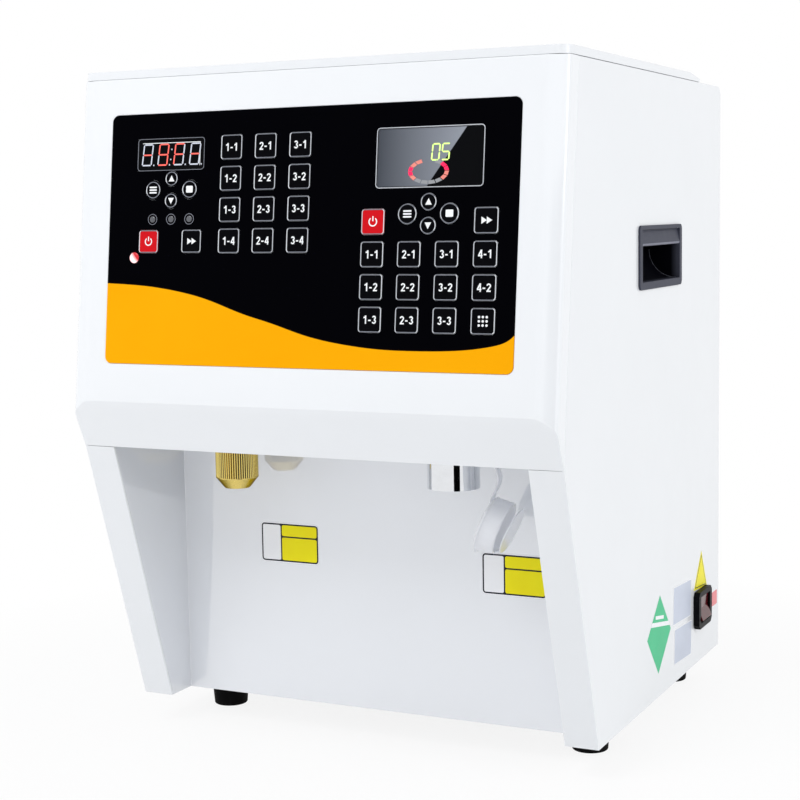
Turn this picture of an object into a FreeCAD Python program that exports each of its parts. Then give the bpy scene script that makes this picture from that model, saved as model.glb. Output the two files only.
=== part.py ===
import FreeCAD, Part
import Sketcher
import math
import os
import re

# Counter-top dispenser for syrup and powder: a folded cabinet with a leaning keypad fascia over
# an open cup bay, a hinged top lid, a syrup tank with its pump, and a powder hopper with its auger.
# X points right, Y points back and Z points up. The origin is on the table, under the middle.
# Lengths are millimetres and angles are degrees.

sizes = {
    # cabinet
    "cabinetWidth": 380,
    "cabinetHeight": 476,
    "overallDepth": 397.3,
    "sheetThickness": 1.5,
    "faceLean": 6.8,
    "chinLean": 24.4,
    "creaseHeight": 243.2,
    "chinHeight": 207.2,
    "cheekWidth": 25.4,
    "cheekSetback": 82.7,
    "bayDepth": 110.2,
    "ceilingHeight": 211,
    "rearFoldRadius": 8,
    "rearFoldDrop": 14,
    "rearFlangeWidth": 14,
    "seatGap": 0.3,
    "cutMargin": 10,
    "weldBite": 0.2,
    # feet
    "footHeight": 25,
    "footSides": 28,
    "footTopRadius": 15.5,
    "footBottomRadius": 13.5,
    "footSideInset": 33,
    "footFrontSetback": 158,
    "footRearInset": 34,
    # fascia
    "fasciaWall": 3,
    "fasciaBevelRun": 12.5,
    "fasciaBevelDrop": 5,
    "fasciaFrontRadius": 23,
    "fasciaSideRadius": 4.4,
    "fasciaInnerRadius": 12,
    # keypad overlay, measured down the leaning face from its top edge
    "overlayWidth": 320,
    "overlayHeight": 180,
    "overlayTop": 26.4,
    "overlayCorner": 5,
    "overlayThickness": 1,
    "overlaySeat": 0.7,
    "overlayGap": 0.2,
    "keySize": 17.2,
    "smallKeySize": 16.2,
    "keyCorner": 1.5,
    "keyGap": 0.3,
    "keyFloat": 0.4,
    "keyThickness": 0.75,
    "roundKeySides": 20,
    "keyPitchAcross": 27.6,
    "keyPitchDown": 22,
    "setKeyRadius": 6.9,
    "arrowKeyRadius": 5.7,
    "setKeySpread": 15.4,
    "arrowKeySpread": 7.9,
    "leftGridAcross": -58.2,
    "leftGridDown": 52.2,
    "leftDialAcross": -107.5,
    "leftDialDown": 81.2,
    "leftPowerAcross": -125.5,
    "leftRunAcross": -89.2,
    "rightGridAcross": 54.9,
    "rightGridDown": 128.2,
    "rightDialAcross": 95.8,
    "rightDialDown": 101.3,
    "rightPowerDown": 106.2,
    # displays and their board
    "ledAcross": -109,
    "ledDown": 55.8,
    "ledWidth": 56.8,
    "ledHeight": 23.2,
    "lcdAcross": 95.3,
    "lcdDown": 63.5,
    "lcdWidth": 77.6,
    "lcdHeight": 39.4,
    "displayGap": 0.4,
    "displaySink": 0.4,
    "boardWidth": 300,
    "boardHeight": 150,
    "boardTop": 38,
    "boardDistance": 9,
    "boardThickness": 1.6,
    "postWidth": 8,
    "postInset": 8,
    # lid and its hinges
    "lidRise": 6.2,
    "lidWall": 2,
    "lidRimWidth": 8,
    "lidCorner": 10,
    "lidFrontSetback": 1.5,
    "lidDepth": 305,
    "lidBevelRun": 27,
    "lidBevelDrop": 3.6,
    "hingeSpread": 120,
    "hingeLength": 40,
    "hingePinRadius": 1.2,
    "hingePinPlay": 0.05,
    "hingePinBite": 1,
    "hingeRise": 2.8,
    "frameKnuckleRadius": 3,
    "lidKnuckleRadius": 2.5,
    "knuckleGap": 0.4,
    "webBite": 0.2,
    "webPlay": 0.5,
    # tank and hopper, which hang by their rims in the top frame
    "vesselFront": 98,
    "vesselDepth": 196,
    "vesselSideInset": 36,
    "vesselMiddle": 8,
    "vesselWall": 2.5,
    "vesselCorner": 12,
    "vesselClearance": 0.6,
    "rimWidth": 5,
    "rimThickness": 2.2,
    "tankBottomHeight": 262,
    "spigotRadius": 6,
    "spigotBore": 4,
    "spigotLength": 14,
    "spigotAcross": -110,
    "spigotBack": 40,
    # powder drive
    "spoutAcross": 89,
    "outletSetback": 66,
    "augerHeight": 238,
    "augerRadius": 16,
    "augerPitch": 30,
    "augerTurns": 7.75,
    "bladeThickness": 3,
    "augerShaftRadius": 4,
    "flightRoot": 1.2,
    "augerSides": 12,
    "shaftPlay": 0.05,
    "tubeBore": 17,
    "tubeWall": 2.5,
    "troughFront": 60,
    "hopperShoulder": 380,
    "dropTubeRadius": 15.2,
    "dropTubeBore": 13,
    "dropTubeReach": 12,
    "spoutRadius": 18.75,
    "spoutBore": 15.5,
    "spoutLength": 27.5,
    "spoutFlangeWidth": 46,
    "spoutFlangeThickness": 2,
    "wheelFingers": 6,
    "wheelRadius": 32,
    "wheelBite": 6,
    "wheelThickness": 8,
    "wheelHubRadius": 8,
    "hubLength": 12,
    "fingerWidth": 6,
    "fingerTipWidth": 4.2,
    "axleRadius": 3,
    "bossRadius": 6,
    "bossLength": 9,
    "gearboxWidth": 44,
    "gearboxCorner": 8,
    "gearboxLength": 22,
    "motorRadius": 18,
    "motorLength": 40,
    "shaftEntry": 8,
    # syrup side
    "nozzleAcross": -88.7,
    "nozzleRadius": 16.0,
    "nozzleTipRadius": 9.8,
    "nozzleTipHeight": 7.5,
    "nozzleLength": 37.3,
    "nozzleBore": 4,
    "stemRadius": 8,
    "stemLength": 14,
    "stemNutRadius": 13,
    "stemNutHeight": 5,
    "knurlCount": 40,
    "knurlDepth": 0.7,
    "knurlFill": 0.8,
    "knurlStart": 0.5,
    "hoseRadius": 6,
    "hoseBore": 4,
    "pumpBack": 40,
    "pumpBodyRadius": 26,
    "pumpBodyLength": 60,
    "pumpHeadSize": 56,
    "pumpHeadHeight": 34,
    "pumpHeadCorner": 6,
    "pumpPortRadius": 6,
    "pumpPortLength": 12,
    "pumpPortSpread": 18,
    "hoseBend": 25,
    "hoseSides": 12,
    "hoseBendSteps": 5,
    "hoseStub": 1,
    # silicone cap on its strap
    "capAcross": 120.5,
    "capShift": 0.7,
    "capRadius": 19,
    "capLength": 15.4,
    "capWall": 2,
    "capFlangeRadius": 20.2,
    "capTilt": 25.5,
    "capDrop": 31.5,
    "strapWidth": 9,
    "strapThickness": 1.6,
    "strapBulge": 4,
    "strapEyeRadius": 2,
    "tabRadius": 17.5,
    "tabThickness": 1.4,
    "tabDistance": 22.3,
    "tabNeckWidth": 8,
    "tabNeckBite": 0.2,
    "tabNeckInset": 3,
    # handles
    "handleBack": 27.5,
    "handleHeight": 340.5,
    "handleLength": 106,
    "handleTall": 47,
    "handleDepth": 26,
    "handleFlange": 1.5,
    "handleWall": 2.5,
    "handleRim": 3,
    "handleCorner": 4,
    "scoopRadius": 22,
    "scoopSteps": 6,
    "hoodDrop": 13,
    "hoodReach": 8,
    "screwInset": 25,
    # switch
    "switchBack": 140,
    "switchHeight": 46,
    "switchLong": 38.5,
    "switchTall": 31,
    "switchProud": 5,
    "switchChamfer": 3.5,
    "switchBodyDepth": 20,
    "rockerLong": 26,
    "rockerTall": 21,
    "rockerGap": 0.5,
    "rockerRise": 3,
    "rockerRidge": 2.2,
    "rockerShoulder": 0.6,
    "rockerFoot": 4,
    "rockerTilt": 9,
    "rockerPinRadius": 1.5,
    "rockerPinLength": 2.5,
    "rockerDepth": 7,
    # rear face
    "ventWidth": 70,
    "ventHeight": 4,
    "ventCount": 9,
    "ventPitch": 11,
    "ventSpread": 80,
    "ventLow": 300,
    "inletAcross": 110,
    "inletHeight": 60,
    "inletWidth": 50,
    "inletTall": 25,
    "inletFlange": 3,
    "inletCorner": 4,
    "inletWall": 1.5,
    "inletFloor": 2,
    "inletPinSpread": 7,
    "inletEarthRise": 3.5,
    "inletPinDrop": 2,
    "inletBodyWidth": 27.5,
    "inletBodyTall": 20,
    "inletDepth": 18,
    "inletBladeWidth": 2,
    "inletBladeTall": 5,
    "screwRadius": 1.6,
    "screwHoleRadius": 1.75,
    "screwHeadRadius": 3.6,
    "screwHeadHeight": 2,
    "screwLength": 8,
    "screwRows": 4,
}

# places that follow from the sizes
derived = {
    "halfWidth": "cabinetWidth / 2",
    "innerHalf": "halfWidth - sheetThickness",
    "baseZ": "footHeight",
    "topZ": "footHeight + cabinetHeight",
    "rearY": "overallDepth / 2",
    "creaseY": "-overallDepth / 2",
    "creaseZ": "footHeight + creaseHeight",
    "chinBottomZ": "footHeight + chinHeight",
    "chinBackY": "creaseY + tan(chinLean) * (creaseZ - chinBottomZ)",
    "faceTopY": "creaseY + tan(faceLean) * (topZ - creaseZ)",
    "faceFootY": "creaseY - tan(faceLean) * (creaseZ - chinBottomZ)",
    "seamSetback": "chinBackY - faceFootY",
    "seamTopY": "faceTopY + seamSetback",
    "cheekFootY": "creaseY + cheekSetback",
    "cheekSlope": "(cheekFootY - chinBackY) / (chinBottomZ - baseZ)",
    "flangeRun": "sheetThickness * sqrt(1 + cheekSlope ^ 2)",
    "bayWallY": "creaseY + bayDepth",
    "bayHalf": "halfWidth - cheekWidth",
    "ceilingZ": "footHeight + ceilingHeight",
    "ceilingFrontY": "faceFootY + seamSetback + tan(faceLean) * (ceilingZ - chinBottomZ) + seatGap",
    "outletY": "creaseY + outletSetback",
    "overlayFace": "overlayThickness - overlaySeat",
    "lidFrontY": "faceTopY + lidFrontSetback",
    "lidRearY": "lidFrontY + lidDepth",
    "lidBottomZ": "topZ + seatGap",
    "lidTopZ": "topZ + lidRise",
    "hingeY": "lidRearY + knuckleGap + frameKnuckleRadius",
    "hingeZ": "topZ + hingeRise",
    "vesselOuter": "halfWidth - vesselSideInset",
    "vesselFrontY": "0 - vesselFront",
    "vesselRearY": "vesselDepth - vesselFront",
    "tankBottomZ": "footHeight + tankBottomHeight",
    "rimTopZ": "topZ + seatGap + rimThickness",
    "augerZ": "footHeight + augerHeight",
    "tubeOuter": "tubeBore + tubeWall",
    "shoulderZ": "footHeight + hopperShoulder",
    "tubeFrontY": "outletY - tubeOuter",
    "augerStartY": "outletY - dropTubeBore + seatGap + bladeThickness",
    "wheelY": "augerStartY + augerPitch * 5.25",
    "wheelZ": "augerZ + augerRadius + wheelRadius - wheelBite",
    "slopeShare": "(wheelZ - augerZ) / (shoulderZ - augerZ)",
    "troughRightX": "spoutAcross + tubeOuter",
    "troughLeftX": "spoutAcross - tubeOuter",
    "axleRightX": "troughRightX + (vesselOuter - troughRightX) * slopeShare",
    "axleLeftX": "troughLeftX + (vesselMiddle - troughLeftX) * slopeShare",
    "gearboxY": "vesselRearY + seatGap",
    "handleZ": "footHeight + handleHeight",
    "switchZ": "footHeight + switchHeight",
    "inletZ": "footHeight + inletHeight",
    "pumpTopZ": "baseZ + sheetThickness + pumpBodyLength + pumpHeadHeight",
    "nozzleTopZ": "ceilingZ + sheetThickness + stemLength",
    "capPivotZ": "ceilingZ - strapEyeRadius - seatGap",
}

doc = FreeCAD.newDocument("SyrupAndPowderDispenser")
sheet = doc.addObject("Spreadsheet::Sheet", "Sizes")
for row, (name, number) in enumerate(sizes.items(), start=1):
    sheet.set("A%d" % row, name)
    sheet.set("B%d" % row, str(number))
    sheet.setAlias("B%d" % row, name)
doc.recompute()


def cells(text):
    # plain names become sheet cells, and derived places become their own sums
    def one(match):
        word = match.group(0)
        if word in derived:
            return "(" + cells(derived[word]) + ")"
        if word in sizes:
            return "Sizes." + word
        return word
    return re.sub(r"[A-Za-z]\w*", one, str(text))


def value(text):
    return float(sheet.evalExpression(cells(text)))


def bind(thing, prop, text):
    thing.setExpression(prop, cells(text))


nodes = []


def newBody(label):
    body = doc.addObject("PartDesign::Body", label)
    body.Label = label
    nodes.append(body)
    return body


def keep(thing, label):
    thing.Label = label
    nodes.append(thing)
    return thing


def place(thing, x, y, z, axis=(1, 0, 0), angle="0"):
    turn = FreeCAD.Rotation(FreeCAD.Vector(*axis), value(angle) or 1)
    spot = FreeCAD.Vector(value(x), value(y), value(z))
    thing.Placement = FreeCAD.Placement(spot, turn)
    bind(thing, "Placement.Base.x", x)
    bind(thing, "Placement.Base.y", y)
    bind(thing, "Placement.Base.z", z)
    bind(thing, "Placement.Rotation.Angle", angle)


def sketchOn(body, name, plane, offset="0"):
    sketch = body.newObject("Sketcher::SketchObject", name)
    support = [f for f in body.Origin.OriginFeatures if f.Role == plane][0]
    sketch.AttachmentSupport = [(support, "")]
    sketch.MapMode = "FlatFace"
    bind(sketch, "AttachmentOffset.Base.z", offset)
    return sketch


def pin(sketch, geometry, point, x, y):
    # ties one point of the sketch to its place, measured from the sketch's origin
    for kind, text in (("DistanceX", x), ("DistanceY", y)):
        rule = Sketcher.Constraint(kind, -1, 1, geometry, point, value(text))
        index = sketch.addConstraint(rule)
        bind(sketch, "Constraints[%d]" % index, text)


def polygon(sketch, corners):
    spots = [FreeCAD.Vector(value(x), value(y), 0) for x, y in corners]
    first = len(sketch.Geometry)
    count = len(corners)
    for i in range(count):
        sketch.addGeometry(Part.LineSegment(spots[i], spots[(i + 1) % count]), False)
    for i in range(count):
        after = first + (i + 1) % count
        sketch.addConstraint(Sketcher.Constraint("Coincident", first + i, 2, after, 1))
    for i, (x, y) in enumerate(corners):
        pin(sketch, first + i, 1, x, y)


def rectangle(sketch, x, y, width, height):
    left = "(%s) - (%s) / 2" % (x, width)
    right = "(%s) + (%s) / 2" % (x, width)
    low = "(%s) - (%s) / 2" % (y, height)
    high = "(%s) + (%s) / 2" % (y, height)
    polygon(sketch, [(left, low), (right, low), (right, high), (left, high)])


def corners(sketch, left, low, right, high):
    polygon(sketch, [(left, low), (right, low), (right, high), (left, high)])


def ring(sketch, x, y, radius, sides=12):
    # a small round drawn with flat sides, so that it has few faces
    spots = []
    for i in range(sides):
        turn = 360 * i / sides
        spots.append(("(%s) + cos(%s) * (%s)" % (x, turn, radius),
                      "(%s) + sin(%s) * (%s)" % (y, turn, radius)))
    polygon(sketch, spots)


def bevelled(sketch, x, y, size, corner):
    # a square with its corners cut off
    spots = []
    for across, up in ((1, -1), (1, 1), (-1, 1), (-1, -1)):
        flat = ("(%s) + %d * ((%s) / 2 - (%s))" % (x, across, size, corner),
                "(%s) + %d * (%s) / 2" % (y, up, size))
        steep = ("(%s) + %d * (%s) / 2" % (x, across, size),
                 "(%s) + %d * ((%s) / 2 - (%s))" % (y, up, size, corner))
        spots += [flat, steep] if across * up < 0 else [steep, flat]
    polygon(sketch, spots)


def circle(sketch, x, y, radius):
    centre = FreeCAD.Vector(value(x), value(y), 0)
    normal = FreeCAD.Vector(0, 0, 1)
    index = sketch.addGeometry(Part.Circle(centre, normal, value(radius)), False)
    rule = sketch.addConstraint(Sketcher.Constraint("Radius", index, value(radius)))
    bind(sketch, "Constraints[%d]" % rule, radius)
    pin(sketch, index, 3, x, y)


def settle(feature):
    # works the feature out at once, so that a failure is reported where it happens
    doc.recompute()
    if not feature.isValid():
        raise RuntimeError("%s: %s failed" % (feature.getParentGeoFeatureGroup().Label,
                                              feature.Name))
    return feature


def pad(body, sketch, length, side="One side", reverse=False):
    feature = body.newObject("PartDesign::Pad", "Pad")
    feature.Profile = sketch
    feature.SideType = side
    feature.Reversed = reverse
    bind(feature, "Length", length)
    return settle(feature)


def pocket(body, sketch, length=None, side="Symmetric", reverse=False, leaning=False):
    # with no length the cut goes through everything, and a leaning cut runs up the leaning face
    before = body.Shape.Volume
    feature = body.newObject("PartDesign::Pocket", "Pocket")
    feature.Profile = sketch
    feature.SideType = side
    feature.Reversed = reverse
    if length is None:
        feature.Type = "ThroughAll"
    else:
        bind(feature, "Length", length)
    if leaning:
        feature.UseCustomVector = True
        bind(feature, "Direction.x", "0")
        bind(feature, "Direction.y", "sin(faceLean)")
        bind(feature, "Direction.z", "cos(faceLean)")
    settle(feature)
    if not body.Shape.Volume < before - 0.001:
        raise RuntimeError("%s: a cut removes nothing" % body.Label)
    return feature


def edgesAlong(feature, direction, test=None):
    # names of the straight edges that run along a direction and pass a test on their middle
    wanted = FreeCAD.Vector(*direction).normalize()
    names = []
    for i, edge in enumerate(feature.Shape.Edges, start=1):
        if not isinstance(edge.Curve, Part.Line):
            continue
        ends = [v.Point for v in edge.Vertexes]
        way = (ends[1] - ends[0]).normalize()
        middle = (ends[0] + ends[1]) * 0.5
        if abs(way.dot(wanted)) > 0.9999 and (test is None or test(middle)):
            names.append("Edge%d" % i)
    return names


def near(number, *places):
    return any(abs(number - value(spot)) < 0.05 for spot in places)


def fillet(body, feature, edges, radius):
    rounding = body.newObject("PartDesign::Fillet", "Fillet")
    rounding.Base = (feature, edges)
    bind(rounding, "Radius", radius)
    return settle(rounding)


def chamfer(body, feature, edges, size):
    bevel = body.newObject("PartDesign::Chamfer", "Chamfer")
    bevel.Base = (feature, edges)
    bind(bevel, "Size", size)
    return settle(bevel)


def revolve(body, sketch, axis="V_Axis"):
    feature = body.newObject("PartDesign::Revolution", "Revolution")
    feature.Profile = sketch
    feature.ReferenceAxis = (sketch, [axis])
    feature.Angle = 360
    return settle(feature)


def slopeY(z):
    # the front line of the cheeks, which runs back from the chin to the feet
    return "(cheekFootY - cheekSlope * ((%s) - baseZ))" % z


def facePoint(down, out):
    # a point on the side view, so far down the leaning face and so far out of it
    y = "faceTopY - sin(faceLean) * (%s) - cos(faceLean) * (%s)" % (down, out)
    z = "topZ - cos(faceLean) * (%s) + sin(faceLean) * (%s)" % (down, out)
    return y, z


def faceWindow(body, name, across, down, width, height):
    # a square hole through the leaning face
    sketch = sketchOn(body, name, "YZ_Plane", across)
    high = "(%s) - (%s) / 2" % (down, height)
    low = "(%s) + (%s) / 2" % (down, height)
    deep = "0 - 3 * fasciaWall"
    polygon(sketch, [facePoint(high, "fasciaWall"), facePoint(low, "fasciaWall"),
                     facePoint(low, deep), facePoint(high, deep)])
    return pocket(body, sketch, width)


def makeCabinet():
    body = newBody("cabinet_body")
    outline = sketchOn(body, "CabinetSide", "YZ_Plane")
    polygon(outline, [("rearY", "baseZ"), ("rearY", "topZ"), ("seamTopY", "topZ"),
                      ("chinBackY", "chinBottomZ"), ("cheekFootY", "baseZ")])
    block = pad(body, outline, "cabinetWidth", "Symmetric")
    fold = edgesAlong(block, (1, 0, 0), lambda p: near(p.y, "rearY") and near(p.z, "topZ"))
    fillet(body, block, fold, "rearFoldRadius")
    hollow = sketchOn(body, "CabinetHollow", "YZ_Plane")
    floor = "baseZ + sheetThickness"
    polygon(hollow, [("rearY + cutMargin", floor), ("rearY + cutMargin", "topZ + cutMargin"),
                     ("chinBackY - cutMargin", "topZ + cutMargin"),
                     ("chinBackY - cutMargin", "chinBottomZ"),
                     ("chinBackY + flangeRun", "chinBottomZ"),
                     (slopeY(floor) + " + flangeRun", floor)])
    pocket(body, hollow, "cabinetWidth - 2 * sheetThickness")
    mouth = sketchOn(body, "BayMouth", "XY_Plane")
    corners(mouth, "0 - bayHalf", "creaseY - cutMargin", "bayHalf",
            "bayWallY + sheetThickness")
    pocket(body, mouth)
    slot = sketchOn(body, "LinerSlot", "XY_Plane")
    corners(slot, "0 - bayHalf - sheetThickness", slopeY(floor) + " + flangeRun",
            "bayHalf + sheetThickness", "bayWallY + sheetThickness")
    pocket(body, slot)
    grips = sketchOn(body, "HandleHoles", "YZ_Plane")
    rectangle(grips, "handleBack", "handleZ", "handleLength - 2 * handleRim",
              "handleTall - 2 * handleRim")
    pocket(body, grips)
    switch = sketchOn(body, "SwitchHole", "YZ_Plane")
    rectangle(switch, "switchBack", "switchZ", "switchLong - 2 * switchChamfer",
              "switchTall - switchChamfer")
    pocket(body, switch, None, "One side", True)
    flanges = sketchOn(body, "RearFlanges", "XY_Plane", "baseZ + sheetThickness")
    inner = "rearY - 2 * sheetThickness"
    outer = "rearY - sheetThickness"
    corners(flanges, "innerHalf - rearFlangeWidth", inner, "innerHalf + weldBite", outer)
    corners(flanges, "0 - innerHalf - weldBite", inner, "rearFlangeWidth - innerHalf", outer)
    pad(body, flanges, "topZ - rearFoldDrop - baseZ - sheetThickness")
    screwHoles(body)


def screwSpots():
    # heights of the screws that hold the rear panel, the same on both sides
    rows = int(value("screwRows"))
    low = "(baseZ + screwInset)"
    high = "(topZ - rearFoldDrop - screwInset)"
    return ["%s + (%s - %s) * %d / %d" % (low, high, low, i, rows - 1) for i in range(rows)]


def screwHoles(body):
    holes = sketchOn(body, "ScrewHoles", "XZ_Plane")
    for z in screwSpots():
        for sign in ("", "0 - "):
            ring(holes, sign + "(innerHalf - rearFlangeWidth / 2)", z, "screwHoleRadius", 6)
    pocket(body, holes, None, "One side")


def makeLiner():
    body = newBody("bay_liner")
    back = "bayWallY + sheetThickness"
    roof = "ceilingZ + sheetThickness"
    outline = sketchOn(body, "LinerSide", "YZ_Plane")
    polygon(outline, [(back, "baseZ"), (back, roof), ("ceilingFrontY", roof),
                      ("ceilingFrontY", "ceilingZ"), ("chinBackY + flangeRun", "chinBottomZ"),
                      ("cheekFootY + flangeRun", "baseZ")])
    pad(body, outline, "2 * (bayHalf + sheetThickness)", "Symmetric")
    hollow = sketchOn(body, "LinerHollow", "YZ_Plane")
    corners(hollow, "creaseY - cutMargin", "baseZ - cutMargin", "bayWallY", "ceilingZ")
    pocket(body, hollow, "2 * bayHalf")
    holes = sketchOn(body, "OutletHoles", "XY_Plane")
    circle(holes, "nozzleAcross", "outletY", "stemRadius + seatGap")
    circle(holes, "spoutAcross", "outletY", "spoutRadius + seatGap")
    pocket(body, holes)


def makeRearPanel():
    body = newBody("rear_panel")
    low = "(baseZ + sheetThickness)"
    high = "(topZ - rearFoldDrop)"
    sheetSketch = sketchOn(body, "RearSheet", "XZ_Plane", "0 - rearY")
    corners(sheetSketch, "seatGap - innerHalf", low, "innerHalf - seatGap", high)
    pad(body, sheetSketch, "sheetThickness")
    vent = sketchOn(body, "VentSlot", "XZ_Plane")
    for side in ("ventSpread", "0 - ventSpread"):
        rectangle(vent, side, "baseZ + ventLow", "ventWidth", "ventHeight")
    cut = pocket(body, vent, None, "One side")
    rows = body.newObject("PartDesign::LinearPattern", "VentRows")
    rows.Originals = [cut]
    rows.Direction = (vent, ["V_Axis"])
    bind(rows, "Length", "ventPitch * (ventCount - 1)")
    bind(rows, "Occurrences", "ventCount")
    body.Tip = rows
    doc.recompute()
    socket = sketchOn(body, "InletHole", "XZ_Plane")
    rectangle(socket, "inletAcross", "inletZ", "inletBodyWidth + 2 * seatGap",
              "inletBodyTall + 2 * seatGap")
    pocket(body, socket, None, "One side")
    screwHoles(body)


def makeTopFrame():
    body = newBody("top_frame")
    front = "seamTopY"
    block = sketchOn(body, "FrameSide", "YZ_Plane")
    corners(block, front, "topZ - rearFoldDrop", "rearY", "topZ")
    pad(body, block, "2 * innerHalf", "Symmetric")
    under = sketchOn(body, "FrameUnder", "YZ_Plane")
    corners(under, "seamTopY - cutMargin", "topZ - rearFoldDrop - cutMargin",
            "rearY - sheetThickness", "topZ - sheetThickness")
    folded = pocket(body, under)
    inside = edgesAlong(folded, (1, 0, 0), lambda p: near(p.y, "rearY - sheetThickness")
                        and near(p.z, "topZ - sheetThickness"))
    inner = fillet(body, folded, inside, "rearFoldRadius - sheetThickness")
    outside = edgesAlong(inner, (1, 0, 0), lambda p: near(p.y, "rearY") and near(p.z, "topZ"))
    fillet(body, inner, outside, "rearFoldRadius")
    wells = sketchOn(body, "FrameWells", "XY_Plane")
    inner = "vesselMiddle - vesselClearance"
    outer = "vesselOuter + vesselClearance"
    low = "vesselFrontY - vesselClearance"
    high = "vesselRearY + vesselClearance"
    corners(wells, inner, low, outer, high)
    corners(wells, "0 - (%s)" % outer, low, "0 - (%s)" % inner, high)
    pocket(body, wells)
    for side in ("hingeSpread", "0 - hingeSpread"):
        rod = sketchOn(body, "HingePin", "YZ_Plane", side)
        circle(rod, "hingeY", "hingeZ", "hingePinRadius")
        wings = []
        for way in ("+", "-"):
            wing = sketchOn(body, "Knuckle", "YZ_Plane",
                            "%s %s 3 * hingeLength / 8" % (side, way))
            ring(wing, "hingeY", "hingeZ", "frameKnuckleRadius")
            wings.append(pad(body, wing, "hingeLength / 4", "Symmetric"))
        pad(body, rod, "hingeLength / 2 + 2 * hingePinBite", "Symmetric")


def makeLid():
    body = newBody("top_lid")
    plan = sketchOn(body, "LidPlan", "XY_Plane", "lidBottomZ")
    corners(plan, "0 - halfWidth", "lidFrontY", "halfWidth", "lidRearY")
    slab = pad(body, plan, "lidTopZ - lidBottomZ")
    ends = edgesAlong(slab, (0, 0, 1), lambda p: near(p.y, "lidFrontY"))
    fillet(body, slab, ends, "lidCorner")
    bevel = sketchOn(body, "LidBevel", "YZ_Plane")
    polygon(bevel, [("lidRearY - lidBevelRun", "lidTopZ"), ("lidRearY + cutMargin", "lidTopZ"),
                    ("lidRearY + cutMargin", "lidTopZ - lidBevelDrop"),
                    ("lidRearY", "lidTopZ - lidBevelDrop")])
    pocket(body, bevel)
    under = sketchOn(body, "LidUnder", "XY_Plane", "lidBottomZ")
    corners(under, "lidRimWidth - halfWidth", "lidFrontY + lidRimWidth",
            "halfWidth - lidRimWidth", "lidRearY - lidBevelRun")
    pocket(body, under, "lidTopZ - lidBottomZ - lidWall", "One side", True)
    for side in ("hingeSpread", "0 - hingeSpread"):
        length = "hingeLength / 2 - 2 * knuckleGap"
        wing = sketchOn(body, "LidKnuckle", "YZ_Plane", side)
        ring(wing, "hingeY", "hingeZ", "lidKnuckleRadius")
        pad(body, wing, length, "Symmetric")
        web = sketchOn(body, "LidWeb", "YZ_Plane", side)
        corners(web, "lidRearY - webPlay", "hingeZ - lidKnuckleRadius + webBite",
                "hingeY - hingePinRadius - webPlay", "hingeZ - webBite")
        pad(body, web, length, "Symmetric")
        bore = sketchOn(body, "LidBore", "YZ_Plane", side)
        circle(bore, "hingeY", "hingeZ", "hingePinRadius + hingePinPlay")
        pocket(body, bore, length + " + 1")


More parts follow.
